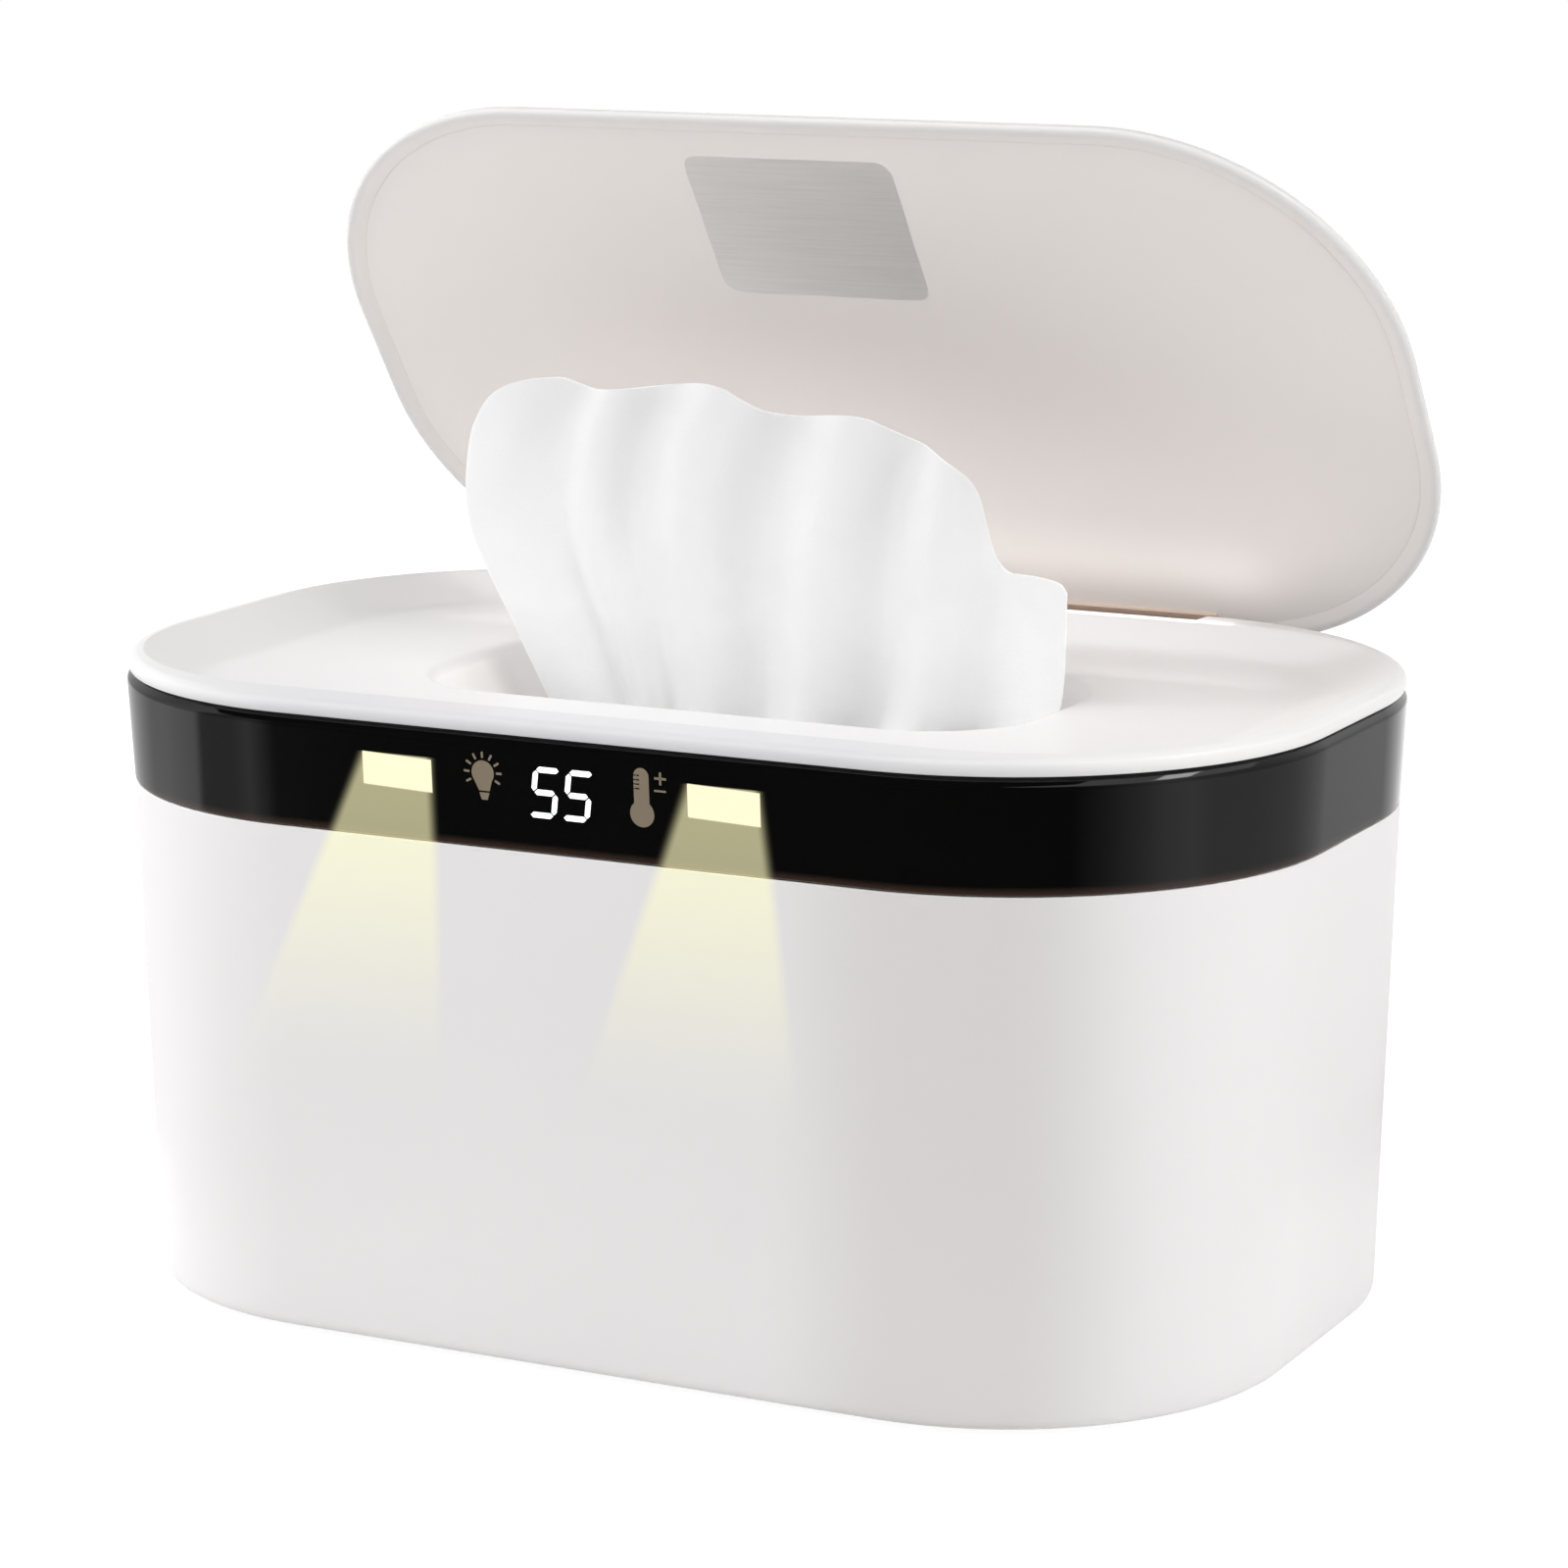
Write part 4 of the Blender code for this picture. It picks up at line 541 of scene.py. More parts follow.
# painted shade: darker towards the free edge at the top, and greyer low down in the tank
painted_shade_at_top, painted_shade_low_down = mask_of(tree, (height, 118 * MM, 156 * MM)), mask_of(tree, (height, 100 * MM, 88 * MM))
shade = layered(tree, "#FAFAFA", (cloudy, "#F5F5F6"), (painted_shade_at_top, "#E2E2E3"), (painted_shade_low_down, "#DADADB"))
bump = add_node(tree, "ShaderNodeBump", {"Distance": 0.03 * MM, "Height": tangle})
tree.links.new(shade, shader.inputs["Base Color"])
tree.links.new(bump.outputs[0], shader.inputs["Normal"])

# %% [markdown]
# The hinge leaf is a tougher, natural-coloured plastic, acetal. On the side that looks at the cover's crest,
# light reaches its upper edge through the pale lid and hardly gets down to the crest, so that side gets a
# painted shade: a warmer tan, turning brown over the last few millimetres above the crest. The mesh says
# which faces look the other way: they stay pale, with no painted shade.

# %% The hinge leaf's finish
tree, shader, place, shade = moulded("natural_acetal", "#D8C7BA", "#D2C0B2", 0.5, IOR=1.48)
height = add_node(tree, "ShaderNodeSeparateXYZ", {"Vector": place}).outputs["Z"]
# painted shade: browner over the last few millimetres above the crest; faces turned away get a plain pale shade
painted_shade_above_crest = mask_of(tree, (height, 112.0 * MM, 109.2 * MM))
pale_side = add_node(tree, "ShaderNodeAttribute", attribute_name="away_from_the_crest").outputs["Fac"]
shade = layered(tree, shade, (painted_shade_above_crest, "#A58C7B"), (pale_side, "#DEDBD6"))
tree.links.new(shade, shader.inputs["Base Color"])
print("finishes made:", sorted(finishes))


# %% Handing a piece over to its body
def hand_over(piece, finish, body, slot, *replaced, sharp=32.0, weighted=True):
    """Gives a finished piece its material and shading, puts it under its body, and hides the nodes it replaces."""
    mesh = piece.data
    mesh.materials.clear()
    mesh.materials.append(finishes[finish])
    for face in mesh.polygons:
        face.material_index = 0
    mesh.shade_smooth()
    mesh.set_sharp_from_angle(angle=math.radians(sharp))
    if weighted:
        piece.modifiers.new("face_weighted_normals", "WEIGHTED_NORMAL").keep_sharp = True
        freeze(piece)
    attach(piece, body)
    if replaced:
        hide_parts(*replaced)
    triangles = sum(len(face.vertices) - 2 for face in piece.data.polygons)
    print(f"{piece.name}: {triangles} triangles, {[round(side / MM, 1) for side in piece.dimensions]} mm")


# %% [markdown]
# ## The white wall
#
# The wall is one moulding, open above and below: drafted 4.5 mm in at each end over its height, with a
# rounded foot. A loft gives the draft exactly, because both outlines are known. Four bosses inside take the
# base screws, and a round hole at the rear takes the power socket.

# %% White wall
wall_profile = [
    (drafted(0.0, 0.0), 2.0),
    (drafted(0.0, SHELL_HEIGHT / 2), 0),
    (drafted(0.0, SHELL_HEIGHT - SEAM / 2), 0.3),
    (drafted(WALL, SHELL_HEIGHT - SEAM / 2), 0.3),
    (drafted(WALL, 0.0), 0.4),
]
wall = skin("white_wall", soften(wall_profile))
BOSS_X, BOSS_Y, BOSS_RADIUS, HOLE_RADIUS = 62.72 * MM, 61.78 * MM, 5.4 * MM, 1.5 * MM
corners = [(sx * BOSS_X, sy * BOSS_Y) for sx in (-1, 1) for sy in (-1, 1)]
carve(wall, rods("bosses", BOSS_RADIUS, *[((x, y, 2.5 * MM), (x, y, 16.5 * MM)) for x, y in corners]), "UNION")
carve(wall, rods("boss_holes", HOLE_RADIUS, *[((x, y, 0), (x, y, 12 * MM)) for x, y in corners]))
INLET_X, INLET_Z, INLET_HOLE = 40.0 * MM, 18.0 * MM, 4.75 * MM
carve(wall, rods("inlet_hole", INLET_HOLE, ((INLET_X, 62 * MM, INLET_Z), (INLET_X, 75 * MM, INLET_Z))))
hand_over(wall, "satin_white_abs", "base", "white_shell", "outer_shell")

# %% [markdown]
# ## The black band
#
# The band is one profile carried round the housing, so Geometry Nodes make it: a rectangle curve gets its
# corners filleted, and the profile, which is the modifier's own mesh, is swept along it. The tree's
# inputs are the sizes that a designer would change.


# %% Geometry Nodes helpers
def start_tree(name, *inputs):
    """A new node tree with named inputs: each has a label, a socket type and a value, if it needs one."""
    tree = bpy.data.node_groups.new(name, "GeometryNodeTree")
    tree.is_modifier = True
    for label, kind, *value in (("Geometry", "Geometry"), *inputs):
        socket = tree.interface.new_socket(label, in_out="INPUT", socket_type="NodeSocket" + kind)
        if value:
            socket.default_value = value[0]
    tree.interface.new_socket("Geometry", in_out="OUTPUT", socket_type="NodeSocketGeometry")
    return tree, add_node(tree, "NodeGroupInput").outputs


def end_tree(tree, geometry, finish_input):
    """Every tree ends the same way: real geometry with its material."""
    real = add_node(tree, "GeometryNodeRealizeInstances", {"Geometry": geometry}).outputs[0]
    coated = add_node(tree, "GeometryNodeSetMaterial", {"Geometry": real, "Material": finish_input})
    add_node(tree, "NodeGroupOutput", {"Geometry": coated.outputs[0]})


def run_tree(tree, start, values):
    """Runs a tree on an object, with values for its named inputs, and keeps the result as a plain mesh."""
    step = start.modifiers.new(tree.name, "NODES")
    step.node_group = tree
    sockets = {item.name: item.identifier for item in tree.interface.items_tree if item.in_out == "INPUT"}
    for label, value in values.items():
        step[sockets[label]] = value
    freeze(start)
    bm = bmesh.new()
    bm.from_mesh(start.data)
    bmesh.ops.remove_doubles(bm, verts=bm.verts, dist=MM / 500)
    bmesh.ops.recalc_face_normals(bm, faces=bm.faces)
    bm.to_mesh(start.data)
    bm.free()


# %% Tree: a profile swept round a rounded rectangle
sweep, given = start_tree(
    "profile_round_the_housing",
    ("Length", "Float", 0.2),
    ("Depth", "Float", 0.1),
    ("Corner radius", "Float", 0.05),
    ("Corner steps", "Int", 24),
    ("Finish", "Material"),
)
oblong = {"Width": given["Length"], "Height": given["Depth"]}
path = add_node(sweep, "GeometryNodeCurvePrimitiveQuadrilateral", oblong, mode="RECTANGLE").outputs[0]
rounding = {"Curve": path, "Radius": given["Corner radius"], "Count": given["Corner steps"]}
path = add_node(sweep, "GeometryNodeFilletCurve", rounding, mode="POLY").outputs[0]
line = add_node(sweep, "GeometryNodeMeshToCurve", {"Mesh": given["Geometry"]}).outputs[0]
swept = add_node(sweep, "GeometryNodeCurveToMesh", {"Curve": path, "Profile Curve": line})
end_tree(sweep, swept.outputs[0], given["Finish"])

# %% Black band
BAND_BULGE, BAND_SHOULDER = 0.9 * MM, 107.75 * MM
band_profile = (  # how far out, the height and the corner's radius in mm
    (0.0, BAND_BOTTOM, 0.3),
    (BAND_BULGE, BAND_SHOULDER, 0.5),
    (-0.4 * MM, BAND_TOP, 0.6),
    (-WALL, BAND_TOP, 0.3),
    (-WALL, LEDGE_TOP, 0),
    (-5.4 * MM, LEDGE_TOP, 0.3),
    (-5.4 * MM, LEDGE_TOP - 1.6 * MM, 0.3),
    (-WALL, LEDGE_TOP - 3.1 * MM, 0),
    (-WALL, 91.35 * MM, 0),
    (-4.1 * MM, 89.95 * MM, 0),
    (-4.1 * MM, 86.55 * MM, 0.3),
    (-2.7 * MM, 86.55 * MM, 0.3),
    (-2.7 * MM, BAND_BOTTOM, 0),
)
ring = soften([((0.0, out, 0.0, z), radius) for out, z, radius in band_profile], steps=4)
mesh = bpy.data.meshes.new("band_profile")
sides = [((i - 1) % len(ring), i) for i in range(len(ring))]
mesh.from_pydata([(out, -z, 0.0) for _, out, _, z in ring], sides, [])
band = stand("black_band", mesh)
band_sizes = {"Length": 2 * HALF_LENGTH, "Depth": 2 * HALF_DEPTH, "Corner radius": CORNER_RADIUS}
run_tree(sweep, band, {**band_sizes, "Corner steps": CORNER_STEPS, "Finish": finishes["piano_black_acrylic"]})
print("band swept from a profile of", len(ring), "points")

# %% [markdown]
# The circuit board stands in a bay behind the front, in two grooved guides. The windows go right through, and
# their top and foot run down a little to the right. At the rear the band makes room for the hinge pocket.

# %% What is cut into the band
WINDOW_TILT, GUIDE_X, SIDE_ROOM = 0.032, 48.5, POCKET_HALF_WIDTH + POCKET_WALL + 0.3 * MM


def in_mm(*corners):
    """Pairs of corners, from mm to metres."""
    return [tuple(Vector(corner) * MM for corner in pair) for pair in corners]


def tilt_window(piece):
    """Lets the top and foot of a window run down to the right."""
    for vertex in piece.data.vertices:
        start = min((low for low, _ in WINDOWS.values()), key=lambda edge: abs(vertex.co.x - edge - 7 * MM))
        vertex.co.z -= (vertex.co.x - start) * WINDOW_TILT
    return piece


bay = in_mm(((-50, -67.8, 92.75), (50, -61.6, 104.4)))
guides = in_mm(*[((x - 1.8, -68.1, 93.4), (x + 1.8, -60.6, LEDGE_TOP / MM)) for x in (-GUIDE_X, GUIDE_X)])
slot = in_mm(((-46.3, -64.7, 90.4), (46.3, -62.5, 104.5)))
display = in_mm(((-8.8, -68.6, 94.5), (8.8, -61.5, 105.7)))
holes = [((low, -73 * MM, WINDOW_LOW), (high, -65 * MM, WINDOW_HIGH)) for low, high in WINDOWS.values()]
gap = ((-POCKET_HALF_WIDTH, 61.6 * MM, 83.5 * MM), (POCKET_HALF_WIDTH, 73 * MM, 112.2 * MM))
room = ((-SIDE_ROOM, 61.55 * MM, 83.4 * MM), (SIDE_ROOM, 67.6 * MM, 112.3 * MM))
carve(band, blocks("board_bay", *bay))
carve(band, blocks("guides", *guides), "UNION")
tools = (("board_slot", slot), ("display_pocket", display), ("window_holes", holes), ("rear_gap", [gap]))
for name, pairs in (*tools, ("pocket_room", [room])):
    tool = blocks(name, *pairs)
    carve(band, tilt_window(tool) if name == "window_holes" else tool)
hand_over(band, "piano_black_acrylic", "base", "black_gloss", "control_band")

# %% [markdown]
# ## What the band carries
#
# Each window is a small block of clouded plastic with eased edges, a twentieth of a millimetre smaller than
# its hole all round. Its face follows the band's slope, so it is sheared to that slope.

# %% Light windows
BAND_SLOPE = 0.9 / 17.8  # mm out for every mm up
WINDOW_FACE = -70.4 * MM


def on_band(x, z, proud=0.03 * MM):
    """A point on the band's front face, a little proud of it."""
    return Vector((x, -(HALF_DEPTH + (z - BAND_BOTTOM) * BAND_SLOPE + proud), z))


for side_name, (start, end) in WINDOWS.items():
    low = (start + 0.05 * MM, WINDOW_FACE, WINDOW_LOW + 0.05 * MM)
    high = (end - 0.05 * MM, -68.25 * MM, WINDOW_HIGH - 0.05 * MM)
    guide = tilt_window(blocks("light_window_" + side_name, (low, high), bevel=0.2 * MM))
    for vertex in guide.data.vertices:
        if vertex.co.y < -69 * MM:
            vertex.co.y += on_band(0, vertex.co.z, -0.02 * MM).y - WINDOW_FACE
    hand_over(guide, "clouded_polycarbonate", "base", "window_pc", "light_guide_" + side_name, sharp=60)

# %% [markdown]
# The display's digits, the rays of the lamp symbol, the ticks of the thermometer and the plus and minus are
# all short bars, so one tree makes them. Its own mesh is loose points, and each point says how its bar is
# turned and sized. A six-sided prism goes on every point, and its two halves are pulled apart to the length.
# The finished drawing is then leaned and stood up on the band's sloping face.

# %% Tree: bars
bars, given = start_tree("bars", ("Thickness", "Float", 0.0001), ("Finish", "Material"))
BAR_VALUES = {"turn": "FLOAT", "across": "FLOAT", "width": "FLOAT", "pull": "FLOAT_VECTOR", "centre": "FLOAT_VECTOR"}
own = {
    label: add_node(bars, "GeometryNodeInputNamedAttribute", {"Name": label}, data_type=kind).outputs[0]
    for label, kind in BAR_VALUES.items()
}
# A hexagon of this radius is 1 wide across its flats, and TIP makes its points stand out at 45 degrees
prism = add_node(bars, "GeometryNodeMeshCylinder", {"Vertices": 6, "Radius": 0.57735, "Depth": 1.0})
TIP = 1.73205
size = add_node(bars, "ShaderNodeCombineXYZ", {0: own["across"], 1: own["width"], 2: given["Thickness"]})
angles = add_node(bars, "ShaderNodeCombineXYZ", {2: own["turn"]})
ways = {"Rotation": angles.outputs[0], "Scale": size.outputs[0], "Instance": prism.outputs["Mesh"]}
placed = add_node(bars, "GeometryNodeInstanceOnPoints", {"Points": given["Geometry"], **ways})
solid = add_node(bars, "GeometryNodeRealizeInstances", {"Geometry": placed.outputs[0]})
here = add_node(bars, "GeometryNodeInputPosition").outputs[0]
away = add_node(bars, "ShaderNodeVectorMath", {0: here, 1: own["centre"]}, operation="SUBTRACT").outputs[0]
half = add_node(bars, "ShaderNodeVectorMath", {0: away, 1: own["pull"]}, operation="DOT_PRODUCT")
half = add_node(bars, "ShaderNodeMath", {0: half.outputs["Value"]}, operation="SIGN").outputs[0]
shift = add_node(bars, "ShaderNodeVectorMath", {0: own["pull"], "Scale": half}, operation="SCALE").outputs[0]
pulled = add_node(bars, "GeometryNodeSetPosition", {"Geometry": solid.outputs[0], "Offset": shift})
end_tree(bars, pulled.outputs[0], given["Finish"])


# %% Making bars
def make_bars(name, entries, finish, lean=0.0, about=100.2 * MM):
    """Bars on the band from (x, height, length, width, turn in degrees, how pointed) entries, in mm."""
    mesh = bpy.data.meshes.new(name)
    mesh.from_pydata([(x * MM, z * MM, 0.0) for x, z, *_ in entries], [], [])
    for label, kind in BAR_VALUES.items():
        mesh.attributes.new(label, kind, "POINT")
    for i, (x, z, length, width, degrees, point) in enumerate(entries):
        turn = math.radians(degrees)
        along = Vector((math.cos(turn), math.sin(turn), 0.0))
        for label, value in (("turn", turn), ("across", width * point * TIP * MM), ("width", width * MM)):
            mesh.attributes[label].data[i].value = value
        mesh.attributes["pull"].data[i].vector = along * (length / 2 - width * point) * MM
        mesh.attributes["centre"].data[i].vector = (x * MM, z * MM, 0.0)
    holder = stand(name, mesh)
    run_tree(bars, holder, {"Thickness": 0.08 * MM, "Finish": finishes[finish]})
    upright = (
        (1.0, lean, 0.0, -lean * about),
        (0.0, -BAND_SLOPE, -1.0, BAND_SLOPE * BAND_BOTTOM - HALF_DEPTH),
        (0.0, 1.0, 0.0, 0.0),
        (0.0, 0.0, 0.0, 1.0),
    )
    holder.data.transform(Matrix(upright))
    return holder


# %% Display digits
DIGIT_Z, COLUMN, ROW, STROKE = 100.3, 4.15, 3.9, 0.98
lit = []
for middle in (-3.1, 3.2):
    # the three level bars, the top one a little longer to the right and the lowest one to the left
    rows = ((0.15, ROW, 0.08), (0, 0, -0.34), (-0.15, -ROW, 0.08))
    lit += [(middle + x, DIGIT_Z + z, COLUMN + more, STROKE, 0, 1) for x, z, more in rows]
    uprights = ((-COLUMN / 2, ROW / 2), (COLUMN / 2, -ROW / 2))  # top left and bottom right make a five
    lit += [(middle + x, DIGIT_Z + z, ROW - 0.36, STROKE, 90, 1) for x, z in uprights]
digits = make_bars("display_digits", lit, "white_led_segment", lean=0.14)
hand_over(digits, "white_led_segment", "base", "led_package")

# %% [markdown]
# The two touch symbols stand for the lamp and for the warmth. Their round and long parts are thin plates cut
# to an outline; the bars come from the same tree as the digits.


# %% Touch symbols
def arc(x, z, radius, start, end, steps=28):
    """Points on an arc, from one angle to another, in degrees."""
    angles = [math.radians(start + (end - start) * i / steps) for i in range(steps + 1)]
    return [(x + radius * math.cos(a), z + radius * math.sin(a)) for a in angles]


LAMP_X, LAMP_Z, HEAT_X, INK = -14.85, 102.65, 15.22, 0.04 * MM
RAY_RING, RAY_ANGLE = 3.1, 29.3
glass = arc(LAMP_X, LAMP_Z, 2.13, -38, 215) + [(LAMP_X - 0.83, 99.6), (LAMP_X + 1.2, 99.6)]
cap = [(LAMP_X - 0.8, 99.3), (LAMP_X - 0.4, 98.05), (LAMP_X + 0.72, 98.05), (LAMP_X + 1.15, 99.3)]
tube = arc(HEAT_X, 98.45, 2.25, -231, 51) + arc(HEAT_X, 104.8, 1.42, 0, 180, 14)
plates = []
for outline in (glass, cap, tube):
    plates.append([[on_band(x * MM, z * MM, proud) for x, z in outline] for proud in (INK, -INK)])
symbols = shell("touch_symbol_plates", *plates)
hand_over(symbols, "translucent_symbol_ink", "base", "white_shell", weighted=False)
rays = []
for degrees in [90 + RAY_ANGLE * k for k in range(-4, 5)]:
    ray = Vector((math.cos(math.radians(degrees)), math.sin(math.radians(degrees)))) * RAY_RING
    rays.append((LAMP_X + ray.x, LAMP_Z + ray.y, 1.15, 0.4, degrees, 0.5))
plus_minus = [(18.8, 104.7, 2.2, 0.4, 0, 0.1), (18.8, 104.7, 2.2, 0.4, 90, 0.1), (18.7, 102.6, 2.2, 0.34, 0, 0.1)]
marks = make_bars("touch_symbol_bars", rays + plus_minus, "translucent_symbol_ink")
hand_over(marks, "translucent_symbol_ink", "base", "white_shell", weighted=False)
ticks = [(HEAT_X - 0.9, z, 1.1, 0.25, 0, 0.1) for z in (104.93, 104.18, 103.43, 102.68)]
tick_bars = make_bars("touch_symbol_ticks", ticks, "piano_black_acrylic")
hand_over(tick_bars, "piano_black_acrylic", "base", "black_gloss", weighted=False)

# %% [markdown]
# ## The cover
#
# One moulding again: a rim that overhangs the band by less than a millimetre, a soft crest, a dish that
# falls 5 mm, and a funnel that guides the wipe. The roundings differ on purpose: small at the rim, wide in
# the dish, and soft at the funnel's lip, because a wet wipe tears on a sharp edge.


# %% Cover
def crest(inset, z):
    """The line where the rim is highest."""
    return inset_of(109.3 * MM, 62.3 * MM, 45 * MM, inset, z)


def dish(inset, z):
    """The foot of the slope into the dish."""
    return inset_of(95 * MM, 54.6 * MM, 31 * MM, inset, z)


def opening(inset, z):
    """The funnel's mouth."""
    return inset_of(58.2 * MM, 28.8 * MM, 20 * MM, inset, z)


RIM_UNDER, SKIRT_OUTER, SKIRT_INNER, SKIRT_LOW = CREST_Z - 1.3 * COVER_WALL, 2.8 * MM, 4.4 * MM, RIM_LINE - 3 * MM
cover_profile = [
    (plan(-0.4 * MM, COVER_BOTTOM), 0.25),
    (plan(-0.8 * MM, 110.45 * MM), 0.8),
    (plan(-0.4 * MM, 111.6 * MM), 0.5),
    (plan(0.8 * MM, 112.2 * MM), 0.8),
    (crest(0.0, CREST_Z), 1.0),
    (crest(0.8 * MM, CREST_Z - 0.4 * MM), 0.8),
    (dish(-1.6 * MM, DISH_Z + 0.5 * MM), 3.0),
    (dish(0.8 * MM, DISH_Z), 2.0),
    (opening(-1.2 * MM, DISH_Z), 1.6),
    (opening(0.0, DISH_Z - 1.2 * MM), 1.2),
    (opening(5 * MM, FUNNEL_BOTTOM), 0.6),
    (opening(3.4 * MM, FUNNEL_BOTTOM), 0.6),
    (opening(-2.0 * MM, COVER_UNDERSIDE), 0.8),
    ((HALF_LENGTH - 9 * MM, 58 * MM, 42 * MM, COVER_UNDERSIDE), 0.5),
    (crest(COVER_WALL, RIM_UNDER), 0.3),
    (plan(SKIRT_INNER, RIM_UNDER), 0.3),
    (plan(SKIRT_INNER, SKIRT_LOW), 0.3),
    (plan(SKIRT_OUTER, SKIRT_LOW), 0.3),
    (plan(SKIRT_OUTER, COVER_BOTTOM), 0.2),
]
cover = skin("dished_cover", soften(cover_profile, steps=5), steps=40)
inner, outer = POCKET_HALF_WIDTH, POCKET_HALF_WIDTH + POCKET_WALL
rear, behind = HALF_DEPTH - WALL - 0.4 * MM, HALF_DEPTH + OVERRUN
box_low = (POCKET_FRONT - POCKET_WALL, POCKET_FLOOR - POCKET_WALL)
pocket = (  # half the width, then the low and high corner's Y and Z
    ("pocket_box", "UNION", outer, box_low, (rear, COVER_UNDERSIDE + 0.4 * MM)),
    ("pocket_crown", "UNION", outer, (60.7 * MM, COVER_UNDERSIDE), (rear, RIM_UNDER + 0.4 * MM)),
    ("pocket_inside", "DIFFERENCE", inner, (POCKET_FRONT, POCKET_FLOOR), (behind, COVER_UNDERSIDE)),
    ("pocket_mouth", "DIFFERENCE", inner, (POCKET_CREST, COVER_UNDERSIDE - OVERRUN), (behind, CREST_Z + OVERRUN)),
)
for name, how, half_width, low, high in pocket:
    carve(cover, blocks(name, ((-half_width, *low), (half_width, *high))), how)
reach, BORE = outer + OVERRUN, PIN_RADIUS + 0.3 * MM
carve(cover, rods("pin_way", BORE, ((-reach, HINGE_Y, HINGE_Z), (reach, HINGE_Y, HINGE_Z))))
hand_over(cover, "polished_white_abs", "cover", "white_cover", "top_cover")

# %% [markdown]
# ## The lid
#
# The lid is drawn closed, where its outline follows the crest, and then turned about the hinge axis into the
# pose that the photograph shows. The turn goes into the mesh itself. Its shell is a shallow tray with a rounded
# lip, and the panel inside is a second moulding, pressed into the tray with hardly any gap.

# %% Lid shell
axle = Vector((0, HINGE_Y, HINGE_Z))
OPENED = Matrix.Translation(axle) @ Matrix.Rotation(-LID_OPEN_ANGLE, 4, "X") @ Matrix.Translation(-axle)
LIP_START, LIP_FADE = 1.0 * MM, 1.2 * MM


def lid_outline(inset, z):
    """The closed lid's outline."""
    return inset_of(106.7 * MM, LID_HALF_DEPTH, 50.25 * MM, inset, z)


def level(rise):
    """A height in the closed lid, in mm from its lip."""
    return LID_LIP_Z + rise * MM


def inset_at(x, y):
    """How far a point lies inside the closed lid's outline."""
    half_length, half_depth, radius, _ = lid_outline(0.0, 0.0)
    over_x, over_y = abs(x) - (half_length - radius), abs(y) - (half_depth - radius)
    return radius - math.hypot(max(over_x, 0.0), max(over_y, 0.0)) - min(max(over_x, over_y), 0.0)


lid_profile = [  # how far in and how far above the lip, in mm, and the corner's radius
    (30, 2.9, 0),
    (LID_BORDER / MM, 2.9, 0.2),
    (LID_BORDER / MM, 1.0, 0),
    (1.4, 0, 0.7),
    (0.5, 0, 0.4),
    (0, 0.5, 0.4),
    (0, 1.1, 0.5),
    (0.8, 2.6, 0.8),
    (2.25, 3.744, 1.0),
    (4.4, 4.368, 1.5),
    (8.36, 4.7, 3.0),
    (30, 5.2, 0),
]
lid_profile = [(lid_outline(inset * MM, level(rise)), radius) for inset, rise, radius in lid_profile]
lid = skin("lid_tray", soften(lid_profile, steps=4, closed=False), closed=False, steps=40)
reach = ARM_HALF_WIDTH + 0.6 * MM
notch_low = (-reach, LID_HALF_DEPTH - LID_BORDER - 0.3 * MM, LID_LIP_Z - OVERRUN)
carve(lid, blocks("rear_notch", (notch_low, (reach, LID_HALF_DEPTH + OVERRUN, level(2.8)))))
lip_mark = lid.data.attributes.new("inside_the_lip", "FLOAT", "POINT")
for vertex, mark in zip(lid.data.vertices, lip_mark.data):
    if vertex.co.z < level(1.05):
        mark.value = min(max((inset_at(vertex.co.x, vertex.co.y) - LIP_START) / LIP_FADE, 0.0), 1.0)
lid.data.transform(OPENED)
hand_over(lid, "lid_white_abs", "lid", "white_shell", "lid_shell")

# %% [markdown]
# The panel carries a small plate of metallised film. Its corners are rounded, because square corners peel.

# %% The panel inside the lid, and the blank foil plate on it
panel_ends = [lid_outline(LID_BORDER + room, level(rise)) for room, rise in ((0.03 * MM, 1.0), (0.05 * MM, 2.6))]
panel = skin("lid_panel", panel_ends, closed=False, steps=40)
PLATE_X, PLATE_Y = 4.1 * MM, 34.8 * MM
plate_outline = rounded_rectangle(20.6 * MM, 15.7 * MM, 3 * MM, steps=8)
faces = [[(x - PLATE_X, y - PLATE_Y, level(rise)) for x, y in plate_outline] for rise in (0.94, 1.05)]
plate = shell("blank_foil_plate", faces)
for piece in (panel, plate):
    piece.data.transform(OPENED)
hand_over(panel, "warm_panel_abs", "lid", "liner_plastic", "lid_liner")
hand_over(plate, "brushed_metallised_film", "lid", "liner_plastic")

# %% [markdown]
# ## The hinge leaf
#
# The feature that makes this object work: a leaf that starts flat under the panel, goes round over the
# cover's crest in one bend and comes down to the pin, so that the lid can swing clear of the rim. It is one
# side view, drawn as a line of points and pushed out sideways, with a knuckle, a bore and two slits that part
# it into three arms.

# %% The leaf's side view
BEND_INSIDE, LEAF_FRONT = LID_LIP_Z + 0.2 * MM - HINGE_Z, HINGE_Y - 9.3 * MM
BEND_OUTSIDE, PLATE_TOP = BEND_INSIDE + 2.0 * MM, level(1.1)
ARM_ANGLE, ARM_HALF = math.radians(7.5), 1.5 * MM


def round_the_pin(radius, angle):
    """A point (Y, Z) round the hinge pin, by its angle from straight up."""
    return (HINGE_Y + radius * math.sin(angle), HINGE_Z + radius * math.cos(angle))


